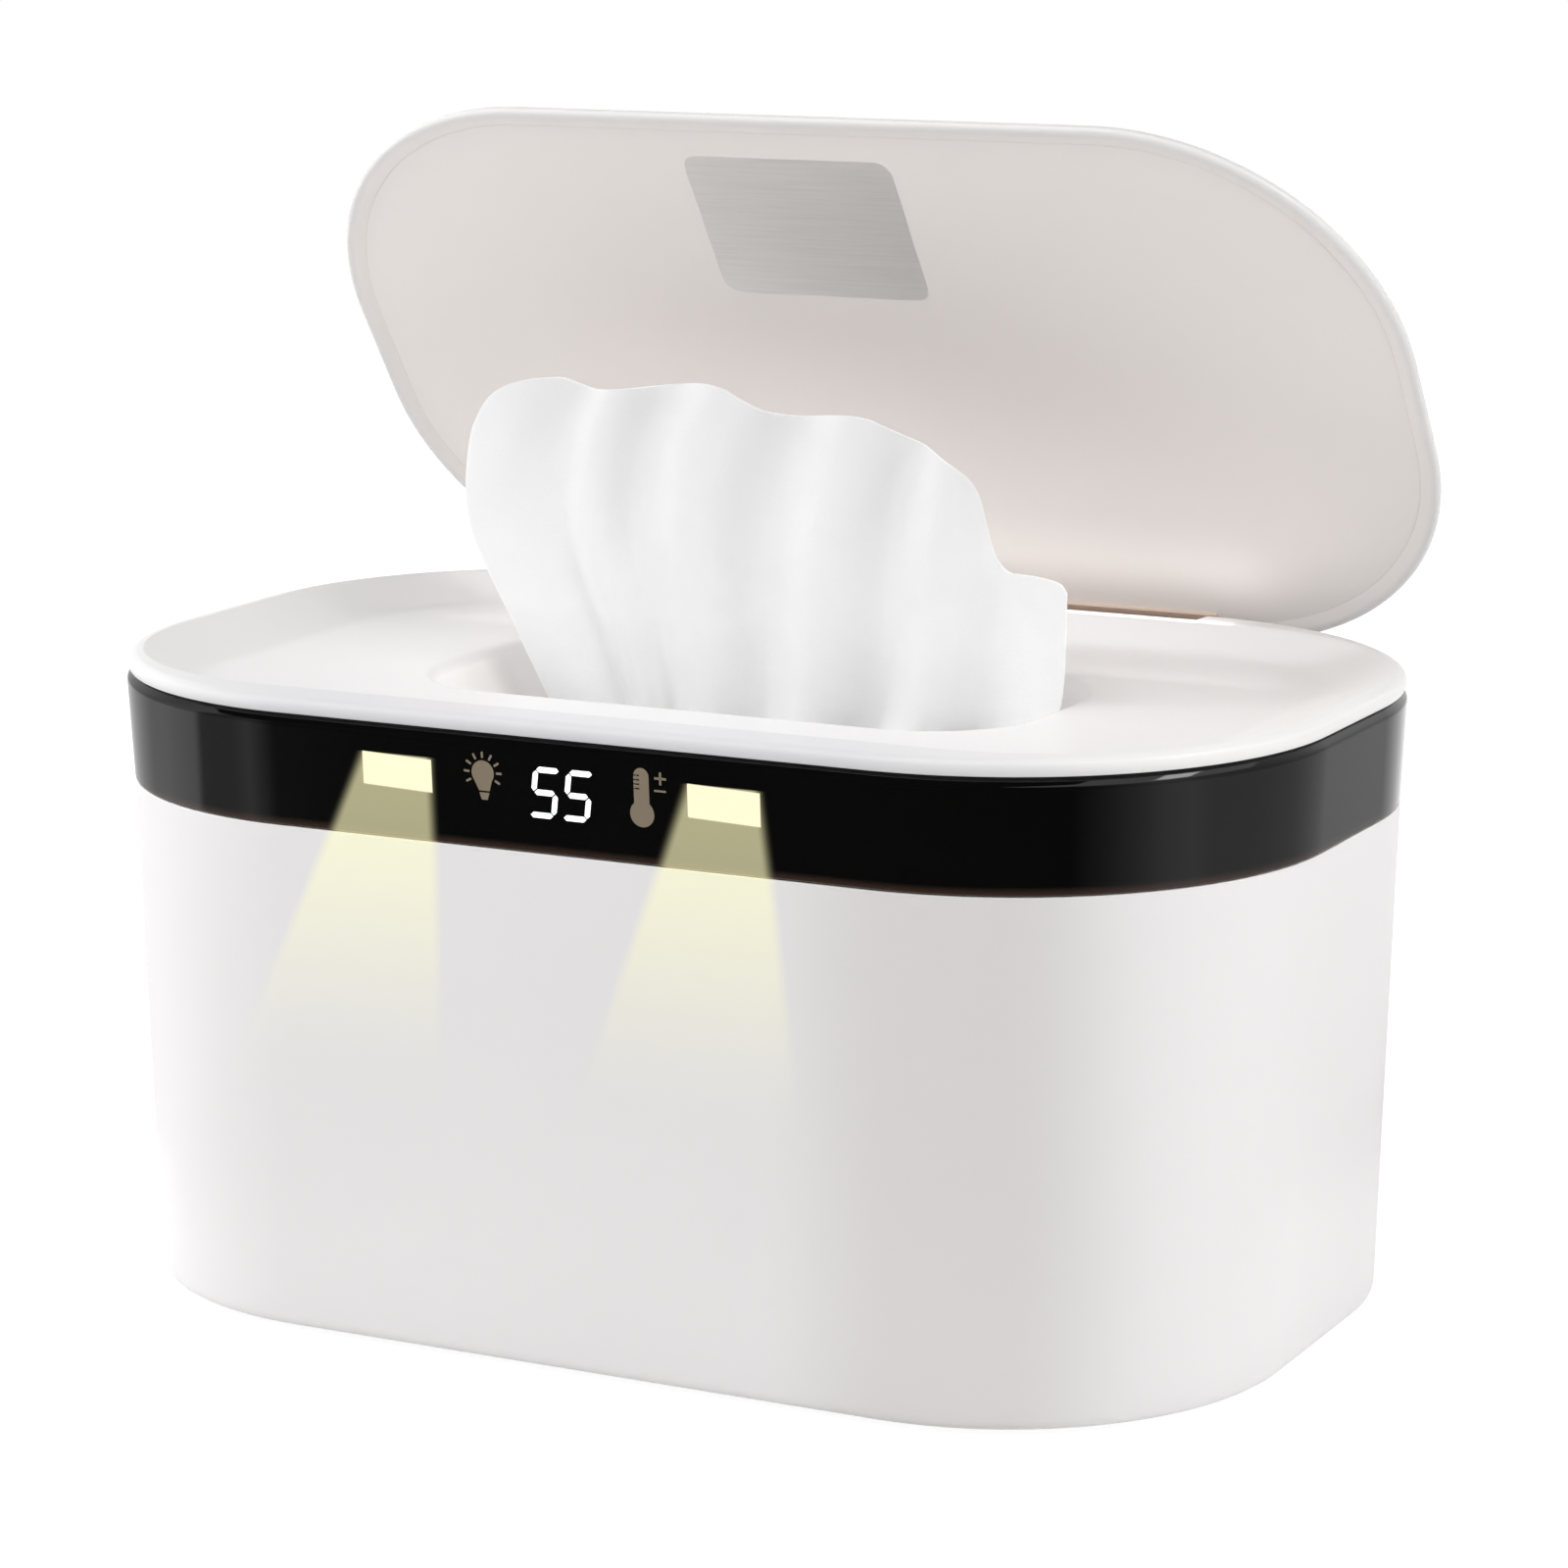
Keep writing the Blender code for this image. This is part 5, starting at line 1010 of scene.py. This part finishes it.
along = Vector((math.sin(ARM_ANGLE), math.cos(ARM_ANGLE)))
across = Vector((along.y, -along.x)) * ARM_HALF
pin = Vector((HINGE_Y, HINGE_Z))
first, last = -math.acos((PLATE_TOP - HINGE_Z) / BEND_OUTSIDE), ARM_ANGLE - math.asin(ARM_HALF / BEND_INSIDE)
side_view = [(LEAF_FRONT, LID_LIP_Z + 0.2 * MM), (LEAF_FRONT, PLATE_TOP)]
side_view += [round_the_pin(BEND_OUTSIDE, first + (ARM_ANGLE - first) * step / 20) for step in range(21)]
side_view.append(tuple(pin + along * (BEND_OUTSIDE - ARM_HALF) + across))
side_view += [tuple(pin + along * ARM_HALF + way * across) for way in (1, -1)]
side_view += [round_the_pin(BEND_INSIDE, last * (1 - step / 4)) for step in range(5)]
print("leaf's side view:", len(side_view), "points")

# %% Hinge leaf
leaf = shell("hinge_leaf", [[(x, y, z) for y, z in side_view] for x in (-ARM_HALF_WIDTH, ARM_HALF_WIDTH)])
knuckle_ends, bore_ends = ([(x, HINGE_Y, HINGE_Z) for x in (-far, far)] for far in (ARM_HALF_WIDTH, 60 * MM))
carve(leaf, rods("knuckle", KNUCKLE_RADIUS, knuckle_ends, steps=48), "UNION")
carve(leaf, rods("bore", BORE, bore_ends))
SLIT_X, SLIT_HALF = 45.8 * MM, 0.4 * MM
slits = [((x - SLIT_HALF, 55 * MM, 80 * MM), (x + SLIT_HALF, 75 * MM, level(1.4))) for x in (-SLIT_X, SLIT_X)]
carve(leaf, blocks("slits", *slits))
pale_mark = leaf.data.attributes.new("away_from_the_crest", "FLOAT", "FACE")
for face, mark in zip(leaf.data.polygons, pale_mark.data):
    mark.value = 0.0 if face.normal.y < 0.4 and face.normal.z < 0.5 else 1.0
leaf.data.transform(OPENED)
hand_over(leaf, "natural_acetal", "lid", "hinge_plastic", "lid_hinge_leaf", sharp=25)

# %% [markdown]
# ## The wipes
#
# The stack in the tank is a few dozen folded wipes. One folded wipe is a soft slab, and Geometry Nodes repeat
# it upwards, each a little shifted and turned, as a stack of cloth is.

# %% Tree: a stack of folded wipes
stack_tree, given = start_tree(
    "stack_of_folded_wipes",
    ("Count", "Int", 40),
    ("Pitch", "Float", 0.0015),
    ("Shift", "Float", 0.0005),
    ("Turn", "Float", 0.005),
    ("Seed", "Int", 7),
    ("Finish", "Material"),
)
rise = add_node(stack_tree, "ShaderNodeCombineXYZ", {2: given["Pitch"]}).outputs[0]
column = add_node(stack_tree, "GeometryNodeMeshLine", {"Count": given["Count"], "Offset": rise}, mode="OFFSET")
# Each draw lies between minus and plus one: a shift in X and Y, and a turn about Z
sideways = {0: (-1.0, -1.0, 0.0), 1: (1.0, 1.0, 0.0), "Seed": given["Seed"]}
shift = add_node(stack_tree, "FunctionNodeRandomValue", sideways, data_type="FLOAT_VECTOR").outputs[0]
turn = add_node(stack_tree, "FunctionNodeRandomValue", {2: -1.0, 3: 1.0, "Seed": given["Seed"]}, data_type="FLOAT")
turn = add_node(stack_tree, "ShaderNodeCombineXYZ", {2: turn.outputs[1]}).outputs[0]
shift, turn = (
    add_node(stack_tree, "ShaderNodeVectorMath", {0: draw, "Scale": given[limit]}, operation="SCALE").outputs[0]
    for draw, limit in ((shift, "Shift"), (turn, "Turn"))
)
shifted = add_node(stack_tree, "GeometryNodeSetPosition", {"Geometry": column.outputs[0], "Offset": shift})
copies = {"Points": shifted.outputs[0], "Instance": given["Geometry"], "Rotation": turn}
wipes = add_node(stack_tree, "GeometryNodeInstanceOnPoints", copies)
end_tree(stack_tree, wipes.outputs[0], given["Finish"])

# %% Wipe stack
WIPE_PITCH, STACK_LOW, EDGE, ROUND = 1.75 * MM, 14.1 * MM, 0.4 * MM, 0.55 * MM
folded = (85.0 * MM, 38.0 * MM, 11 * MM)
wipe_slab = [
    inset_of(*folded, inset, STACK_LOW + rise)
    for inset, rise in ((0, 0), (-ROUND, EDGE), (-ROUND, WIPE_PITCH - EDGE), (0, WIPE_PITCH))
]
stack = skin("folded_wipes", wipe_slab, closed=False, steps=5)
values = {"Count": 40, "Pitch": WIPE_PITCH, "Shift": 0.35 * MM, "Turn": 0.003, "Seed": 7}
run_tree(stack_tree, stack, {**values, "Finish": finishes["spunlace_nonwoven"]})
hand_over(stack, "spunlace_nonwoven", "base", "nonwoven", "wipe_stack", weighted=False)

# %% [markdown]
# The wipe that stands up is one sheet of nonwoven, pulled half out of the stack. The funnel gathers it, so
# it stands in five soft folds that fan out towards the top, and its top edge shows where it tore free.
# Cloth that is pulled through a funnel keeps a shape that its folds give it, so the sheet is drawn as that
# rule: places of valleys at its foot and crown, with finer creases over them, and folds that grow
# shallower towards the free edge.


# %% Reading a table as a smooth curve
def smooth_between(value, table):
    """Reads a table of (place, amount) pairs along a curve that goes through every entry and never past it."""
    last = len(table) - 1
    i = max(k for k in range(last) if table[k][0] <= value or k == 0)

    def rate(k):
        return (table[k + 1][1] - table[k][1]) / (table[k + 1][0] - table[k][0])

    def slope(k):
        if k in (0, last):
            return rate(min(k, last - 1))
        before, after = rate(k - 1), rate(k)
        return 2 * before * after / (before + after) if before * after > 0 else 0.0

    span = table[i + 1][0] - table[i][0]
    t = min(max((value - table[i][0]) / span, 0.0), 1.0)
    a, b, c, d = table[i][1], table[i + 1][1], slope(i) * span, slope(i + 1) * span
    return a + c * t + (3 * (b - a) - 2 * c - d) * t**2 + (2 * (a - b) + c + d) * t**3


# %% The standing wipe's shape
SHEET_LOW, SHEET_TALL = 84.4 * MM, 75.6 * MM
# Share of the height and the side edge there, in mm from the middle
LEFT_EDGE = (
    (0, -35.5), (0.18, -40.8), (0.272, -44.4), (0.344, -47.4), (0.405, -49.7), (0.484, -53.2), (0.563, -56.3),
    (0.63, -58.2), (0.709, -58.9), (0.788, -58.5), (0.868, -57.2), (0.934, -55), (1, -52.5),
)
RIGHT_EDGE = (
    (0, 46), (0.18, 54), (0.246, 57.6), (0.299, 58.8), (0.378, 59.6), (0.537, 60), (1, 60.1),
)
# Share of the width and how high the top edge is there: two soft waves, a slope and one step
TOP_EDGE = (
    (0, 0.86), (0.007, 0.922), (0.021, 0.951), (0.038, 0.967), (0.073, 0.982), (0.115, 0.988), (0.161, 0.972),
    (0.184, 0.966), (0.26, 0.975), (0.31, 0.985), (0.376, 0.995), (0.408, 0.989), (0.454, 0.963),
    (0.499, 0.937), (0.54, 0.93), (0.638, 0.942), (0.669, 0.938), (0.699, 0.922), (0.74, 0.894), (0.781, 0.87),
    (0.82, 0.839), (0.839, 0.815), (0.853, 0.782), (0.864, 0.722), (0.878, 0.64), (0.893, 0.608),
    (0.906, 0.601), (0.94, 0.603), (0.971, 0.598), (0.99, 0.59), (1, 0.57),
)
# The valleys between the folds: their places at the foot and at the crown, and how deep each is, in mm
FOOT = (0, 0.135, 0.225, 0.39, 0.63, 0.88, 1)
CROWN = (0, 0.157, 0.315, 0.565, 0.765, 0.885, 1)
PHASE = (-0.6, 0, 1, 2, 3, 4, 4.6)
DEPTH = (1.3, 1.7, 2.0, 2.6, 2.4, 1.6, 1.2)


def sheet_point(u, v):
    """A point of the wipe: u runs from left to right, v from the stack to the top edge."""
    rise = v * smooth_between(u, TOP_EDGE)
    left, right = smooth_between(rise, LEFT_EDGE), smooth_between(rise, RIGHT_EDGE)
    valleys = [foot + (crown - foot) * rise for foot, crown in zip(FOOT, CROWN)]
    wave = 0.5 + 0.5 * math.cos(2 * math.pi * smooth_between(u, list(zip(valleys, PHASE))))
    depth = smooth_between(u, list(zip(valleys, DEPTH))) * (2 * wave**1.35 - 0.85) * (1.0 - 0.45 * rise)
    fine = 0.15 * math.sin(23 * u + 9 * rise + 2.2 * math.sin(7 * u))
    fine += 0.06 * math.sin(61 * u - 14 * rise + 1.7 * math.sin(11 * u + 3 * rise))
    return ((left + (right - left) * u) * MM, (depth + fine) * MM, SHEET_LOW + rise * SHEET_TALL)


# %% Standing wipe
COLUMNS, ROWS, EASE = 240, 110, 1.02  # the ease is what the finest creases take up
bm = bmesh.new()
grid = [[bm.verts.new(sheet_point(i / COLUMNS, j / ROWS)) for i in range(COLUMNS + 1)] for j in range(ROWS + 1)]
for low, high in zip(grid, grid[1:]):
    for i in range(COLUMNS):
        bm.faces.new((low[i], low[i + 1], high[i + 1], high[i]))
sheet_area = sum(face.calc_area() for face in bm.faces)
wipe = new_piece("standing_wipe", bm)
thick = wipe.modifiers.new("thickness", "SOLIDIFY")
thick.thickness, thick.offset = 0.45 * MM, 0.0
freeze(wipe)
hand_over(wipe, "spunlace_nonwoven", "cover", "nonwoven", "wipe_sheet", sharp=60, weighted=False)
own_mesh(wipe)

# %% [markdown]
# ## Below and behind
#
# A designer doesn't stop at the front. The foam under the heater keeps the warmth in the tank, two spots of
# conductive foam carry the touch to the board, and the feet and screws are each one shape in four places,
# so they are put on a two-by-two grid.

# %% Foam pieces
pad_outline = (88.7 * MM, 43.7 * MM, 29.7 * MM)
pad_profile = ((0.2 * MM, 2.5 * MM, 1.0), (0, 4.5 * MM, 0), (0, 9.0 * MM, 0), (0.2 * MM, 10.6 * MM, 1.0))
pad_profile = [(inset_of(*pad_outline, inset, z), radius) for inset, z, radius in pad_profile]
pad = skin("insulating_foam", soften(pad_profile, closed=False), closed=False, steps=12)
hand_over(pad, "closed_cell_foam", "base", "insulation_foam", "insulation_pad")
for side_name, x in (("light", -14.7 * MM), ("heat", 15.6 * MM)):
    spot = rods("touch_foam_" + side_name, 3 * MM, ((x, -67.5 * MM, 94.6 * MM), (x, -64.7 * MM, 94.6 * MM)))
    hand_over(spot, "closed_cell_foam", "base", "touch_foam", "touch_pad_" + side_name)

# %% Tree: one shape in four places
spacing = (("Apart in X", "Float", 0.1), ("Apart in Y", "Float", 0.05))
fours, given = start_tree("one_shape_in_four_places", *spacing, ("Finish", "Material"))
grid = {"Size X": given["Apart in X"], "Size Y": given["Apart in Y"], "Vertices X": 2, "Vertices Y": 2}
spots = add_node(fours, "GeometryNodeMeshGrid", grid).outputs["Mesh"]
copies = add_node(fours, "GeometryNodeInstanceOnPoints", {"Points": spots, "Instance": given["Geometry"]})
end_tree(fours, copies.outputs[0], given["Finish"])

# %% [markdown]
# The feet are soft discs, hollowed a little so that they grip. The screws have a pan head with a cross recess,
# cut by two thin blocks. The thread hides in the boss, so it is drawn only as a shank.

# %% Feet and base screws
corner_names = [f"{end}_{side}" for end in ("front", "rear") for side in ("left", "right")]
foot_profile = [(0, 0.7), (7, 0.7), (7, -0.5), (6.9, -0.85), (6.65, -1.1), (6.3, -1.2), (5.2, -1.2), (4.9, -0.9)]
feet = turn_profile("rubber_feet", foot_profile + [(0, -0.9)])
screw_profile = [(0, 10.2), (0.6, 10.2), (1.2, 9.4), (1.2, 1.2), (2.7, 1.2), (2.7, 0.65), (2.45, 0.3), (1.9, 0.05)]
screws = turn_profile("base_screws", screw_profile + [(1.2, 0), (0, 0)], steps=24)
for half_x, half_y in ((1.5, 0.32), (0.32, 1.5)):
    carve(screws, blocks("recess_arm", *in_mm(((-half_x, -half_y, -1), (half_x, half_y, 0.7)))))
four_places = (
    (feet, 154.56 * MM, 81.2 * MM, "moulded_rubber", "foot_rubber", "foot_"),
    (screws, 2 * BOSS_X, 2 * BOSS_Y, "zinc_plated_steel", "zinc_steel", "base_screw_"),
)
for piece, apart_x, apart_y, finish, slot, prefix in four_places:
    run_tree(fours, piece, {"Apart in X": apart_x, "Apart in Y": apart_y, "Finish": finishes[finish]})
    hand_over(piece, finish, "base", slot, *[prefix + corner for corner in corner_names])

# %% [markdown]
# The power socket is the plain barrel kind: a nylon body behind the wall, a round nose through it, a bore,
# and a plated pin in the middle of the bore.

# %% Power socket
inlet_low, inlet_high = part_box("power_inlet")
nose_start = inlet_high.y - 3.2 * MM
socket_box = (tuple(inlet_low), (inlet_high.x, nose_start, inlet_high.z))
socket = blocks("power_socket", socket_box, bevel=0.4 * MM)
NOSE, SOCKET_BORE, SOCKET_PIN = 4.6 * MM, 2.8 * MM, 0.9 * MM  # radii
nose_ends, hole_ends, pin_ends = (
    [(INLET_X, y, INLET_Z) for y in ends]
    for ends in (
        (nose_start - MM, inlet_high.y),
        (inlet_low.y + 2 * MM, 80 * MM),
        (inlet_low.y + 1.6 * MM, inlet_high.y - 1.2 * MM),
    )
)
carve(socket, rods("nose", NOSE, nose_ends), "UNION")
carve(socket, rods("bore", SOCKET_BORE, hole_ends))
hand_over(socket, "black_filled_nylon", "base", "component_black", "power_inlet")
hand_over(rods("socket_pin", SOCKET_PIN, pin_ends, steps=24), "nickel_plated_brass", "base", "zinc_steel")

# %% [markdown]
# The remaining pieces stay the CAD's own solids, as they are already what the real ones are. They get their
# finishes here.

# %% Finishes of the CAD's own pieces
kept = {
    "base_polypropylene": ("base_plate",),
    "tank_polypropylene": ("wipe_tank",),
    "silicone_rubber": ("cover_seal",),
    "zinc_plated_steel": ("hinge_pin",),
    "natural_nylon": ("hinge_washer_left", "hinge_washer_right"),
    "rolled_aluminium_foil": ("heating_film",),
    "solder_masked_laminate": ("control_board",),
    "black_filled_nylon": ("display_module", "thermistor", "thermal_cutoff"),
    "led_phosphor": ("led_left", "led_right"),
    "soft_pvc": ("inlet_lead", "heater_lead"),
}
for finish, names in kept.items():
    for name in names:
        for holder in nodes[name].material_slots:
            holder.material = finishes[finish]
print("CAD pieces kept:", sum(len(names) for names in kept.values()))

# %% [markdown]
# ## Floor, light and backdrop
#
# The product stands on a pure white ground, as catalogue pictures do. The world is white to the camera, to
# mirrors and through glass, and gives hardly any light to anything else. The floor gives its own white, so
# that only the object's soft contact shadow shows on it.

# %% World
world = bpy.data.worlds.new("white_backdrop")
bpy.context.scene.world = world
world.use_nodes = True
sky = world.node_tree
sky.nodes.clear()
ray = add_node(sky, "ShaderNodeLightPath").outputs
seen = add_node(sky, "ShaderNodeMath", {0: ray["Is Camera Ray"], 1: ray["Is Glossy Ray"]}, operation="ADD").outputs[0]
through = {0: seen, 1: ray["Is Transmission Ray"]}
seen = add_node(sky, "ShaderNodeMath", through, operation="ADD", use_clamp=True).outputs[0]
WHITE = {"Color": colour("#FFFFFF")}
backdrop = add_node(sky, "ShaderNodeBackground", {**WHITE, "Strength": mask_of(sky, (seen, 0.0, 1.0, 0.02))})
add_node(sky, "ShaderNodeOutputWorld", {"Surface": backdrop.outputs[0]})

# %% Floor
bm = bmesh.new()
bmesh.ops.create_grid(bm, x_segments=1, y_segments=1, size=2.5)
floor = new_piece("floor", bm)
floor.data.transform(Matrix.Translation((0, 0, -1.25 * MM)))
finishes["white_ground"] = bpy.data.materials.new("white_ground")
finishes["white_ground"].use_nodes = True
ground = finishes["white_ground"].node_tree
ground.nodes.clear()
ray = add_node(ground, "ShaderNodeLightPath").outputs
either = {0: ray["Is Camera Ray"], 1: ray["Is Glossy Ray"]}
seen = add_node(ground, "ShaderNodeMath", either, operation="ADD", use_clamp=True).outputs[0]
place = add_node(ground, "ShaderNodeTexCoord").outputs["Object"]
far = add_node(ground, "ShaderNodeVectorMath", {0: place}, operation="LENGTH").outputs["Value"]
own_white = mask_of(ground, (far, 100 * MM, 350 * MM, 0.92))
glow = add_node(ground, "ShaderNodeEmission", {**WHITE, "Strength": own_white}).outputs[0]
catch, plain = (
    add_node(ground, "ShaderNodeBsdfDiffuse", {"Color": (grey, grey, grey, 1.0)}).outputs[0] for grey in (0.25, 0.8)
)
both = add_node(ground, "ShaderNodeAddShader", {0: glow, 1: catch}).outputs[0]
chosen = add_node(ground, "ShaderNodeMixShader", {0: seen, 1: plain, 2: both}).outputs[0]
add_node(ground, "ShaderNodeOutputMaterial", {"Surface": chosen})
floor.data.materials.append(finishes["white_ground"])
floor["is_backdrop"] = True

# %% [markdown]
# A glossy black part shows whatever stands round it. In a white studio it would turn grey, so a
# photographer hangs flags of black cloth where its front looks, and lets white show where its ends look.
# Here the cloth is a ring round the product, seen by reflections only. It hides everything in front, and between the
# ends and the back it lets more and more white through, by the angle round the product.

# %% Black cloth for the reflections
circle = [math.radians(4 * i) for i in range(90)]
cloth_profile = ((0.16, -1 * MM), (1.6, -1 * MM), (1.6, 1.4))
rings = [[(r * math.cos(a), r * math.sin(a), z) for a in circle] for r, z in cloth_profile]
cloth = shell("black_cloth", rings, caps=False)
black = {"Base_Color": colour("#050505"), "Roughness": 1.0, "Specular_IOR_Level": 0.0}
tree, shader, place = start_finish("black_felt", **black)
axes = add_node(tree, "ShaderNodeSeparateXYZ", {"Vector": place}).outputs
# The angle is 0 behind and grows to the right, and its negative half is the left: front is plus or minus 180
angle = add_node(tree, "ShaderNodeMath", {0: axes["X"], 1: axes["Y"]}, operation="ARCTAN2").outputs[0]
ramp = add_node(tree, "ShaderNodeValToRGB", {"Fac": mask_of(tree, (angle, -math.pi, math.pi))})
stops = ramp.color_ramp.elements
for end in (0, 1):
    stops[end].position, stops[end].color = end, (1, 1, 1, 1)
# Degrees from the front, negative to the left, and how much the cloth hides there
TURNED = (-33, -36, -45, -51, -60, -65, -68, -75, -85, -95, -115, -135, -150)
HIDES = (0.99, 0.94, 0.6, 0.74, 0.78, 0.78, 0.32, 0.34, 0.42, 0.58, 0.47, 0.38, 0.25)
TURNED += (48, 52, 58, 67, 75, 83, 90, 108, 124, 141, 149, 157, 166, 175)
HIDES += (1.0, 0.95, 0.88, 0.72, 0.54, 0.47, 0.58, 0.64, 0.65, 0.55, 0.47, 0.29, 0.1, 0.0)
for degrees, hides in zip(TURNED, HIDES):
    # the front is at both ends of the ramp
    stops.new((-degrees if degrees < 0 else 360 - degrees) / 360).color = (hides, hides, hides, 1)
clear = add_node(tree, "ShaderNodeBsdfTransparent").outputs[0]
hidden = add_node(tree, "ShaderNodeMixShader", {0: ramp.outputs[0], 1: clear, 2: shader.outputs[0]})
output = next(node for node in tree.nodes if node.type == "OUTPUT_MATERIAL")
tree.links.new(hidden.outputs[0], output.inputs["Surface"])
cloth.data.materials.append(finishes["black_felt"])

# %% A black card overhead, for the band's bevelled shoulder
start_finish("black_card", **black)
card_corners = ((-1.6, -3.0), (0.6, -3.0), (0.6, 4.0), (-1.6, 4.0))
bm = bmesh.new()
bm.faces.new([bm.verts.new((x, y, 1.4)) for x, y in card_corners])
card = new_piece("black_card", bm)
card.data.materials.append(finishes["black_card"])
for flag in (cloth, card):
    for kind in ("camera", "diffuse", "transmission", "volume_scatter", "shadow"):
        setattr(flag, "visible_" + kind, False)
    flag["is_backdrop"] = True

# %% [markdown]
# The photograph's light is very even: one large soft lamp above the front, and weaker ones all round. Mirror
# reflections don't see them, because the cloth decides what the band shows. Behind the wipe hardly any light
# gets in, so strips as thin as a ruler light the foot of the lid there. One last lamp is seen by reflections:
# it draws the thin streak on the band's right shoulder.


# %% Lamps
def softbox(name, place, aim, width, height, watts, mirrored=False):
    """A rectangular lamp at a place, turned to a point, in metres."""
    light = bpy.data.lights.new(name, "AREA")
    light.shape, light.size, light.size_y, light.energy = "RECTANGLE", width, height, watts
    lamp = stand(name, light)
    lamp.matrix_world = facing(place, Vector(aim) - Vector(place))
    lamp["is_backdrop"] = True
    lamp.visible_camera, lamp.visible_glossy = False, mirrored
    return lamp


def placed_at(azimuth, elevation, distance):
    """A place round the product: azimuth from +X, elevation from the floor, in degrees."""
    turn, lift = math.radians(azimuth), math.radians(elevation)
    flat = distance * math.cos(lift)
    return (flat * math.cos(turn), flat * math.sin(turn), MIDDLE[2] + distance * math.sin(lift))


MIDDLE = (0, 0, 90 * MM)
ROUND_THE_PRODUCT = (  # azimuth, elevation, distance, width, height, watts
    ("key_above_front", (-108, 53, 1.0), 0.7, 0.4, 5.1),
    ("fill_left", (180, 10, 0.9), 0.3, 0.6, 2.9),
    ("fill_left_rear", (150, 12, 0.9), 0.3, 0.6, 2.9),
    ("fill_left_front", (-145, 15, 0.95), 0.3, 0.6, 3.1),
    ("fill_right_front", (-28, 10, 0.95), 0.3, 0.6, 3.1),
    ("fill_right", (0, 9, 0.9), 0.3, 0.6, 1.8),
    ("fill_right_rear", (35, 15, 0.95), 0.3, 0.6, 2.2),
    ("fill_rear", (90, 30, 1.0), 0.6, 0.4, 1.2),
)
for name, where, width, height, watts in ROUND_THE_PRODUCT:
    softbox(name, placed_at(*where), MIDDLE, width, height, watts)
softbox("fill_above", (0, 0, 1.1), (0, 0, 0.1), 0.7, 0.5, 4.8)
STRIPS = (  # where each is and what it looks at, as Y and Z in mm, then width, height, watts
    ("strip_behind_wipe", (28, 118), (70, 118), 0.17, 0.012, 0.0045),
    ("strip_at_crest", (50, 117), (78, 113), 0.2, 0.008, 0.001),
    ("strip_at_hinge", (62, 114.5), (80, 112), 0.13, 0.004, 0.0036),
    ("strip_under_lid", (46, 112), (75, 150), 0.2, 0.02, 0.0022),
)
for name, where, aim, *sizes in STRIPS:
    place, aim = ((0, y * MM, z * MM) for y, z in (where, aim))
    softbox(name, place, aim, *sizes)
shoulder = (0.1, -0.05, 0.109)
streak = softbox("glint_on_the_shoulder", placed_at(14, 51.5, 1.0), shoulder, 0.32, 0.1, 0.6, mirrored=True)
streak.visible_diffuse = False
print("lamps:", len(bpy.data.lights))

# %% View settings
bpy.context.scene.view_settings.view_transform = "Standard"

# %% The bounds of everything that renders, without the backdrop
low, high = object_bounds()
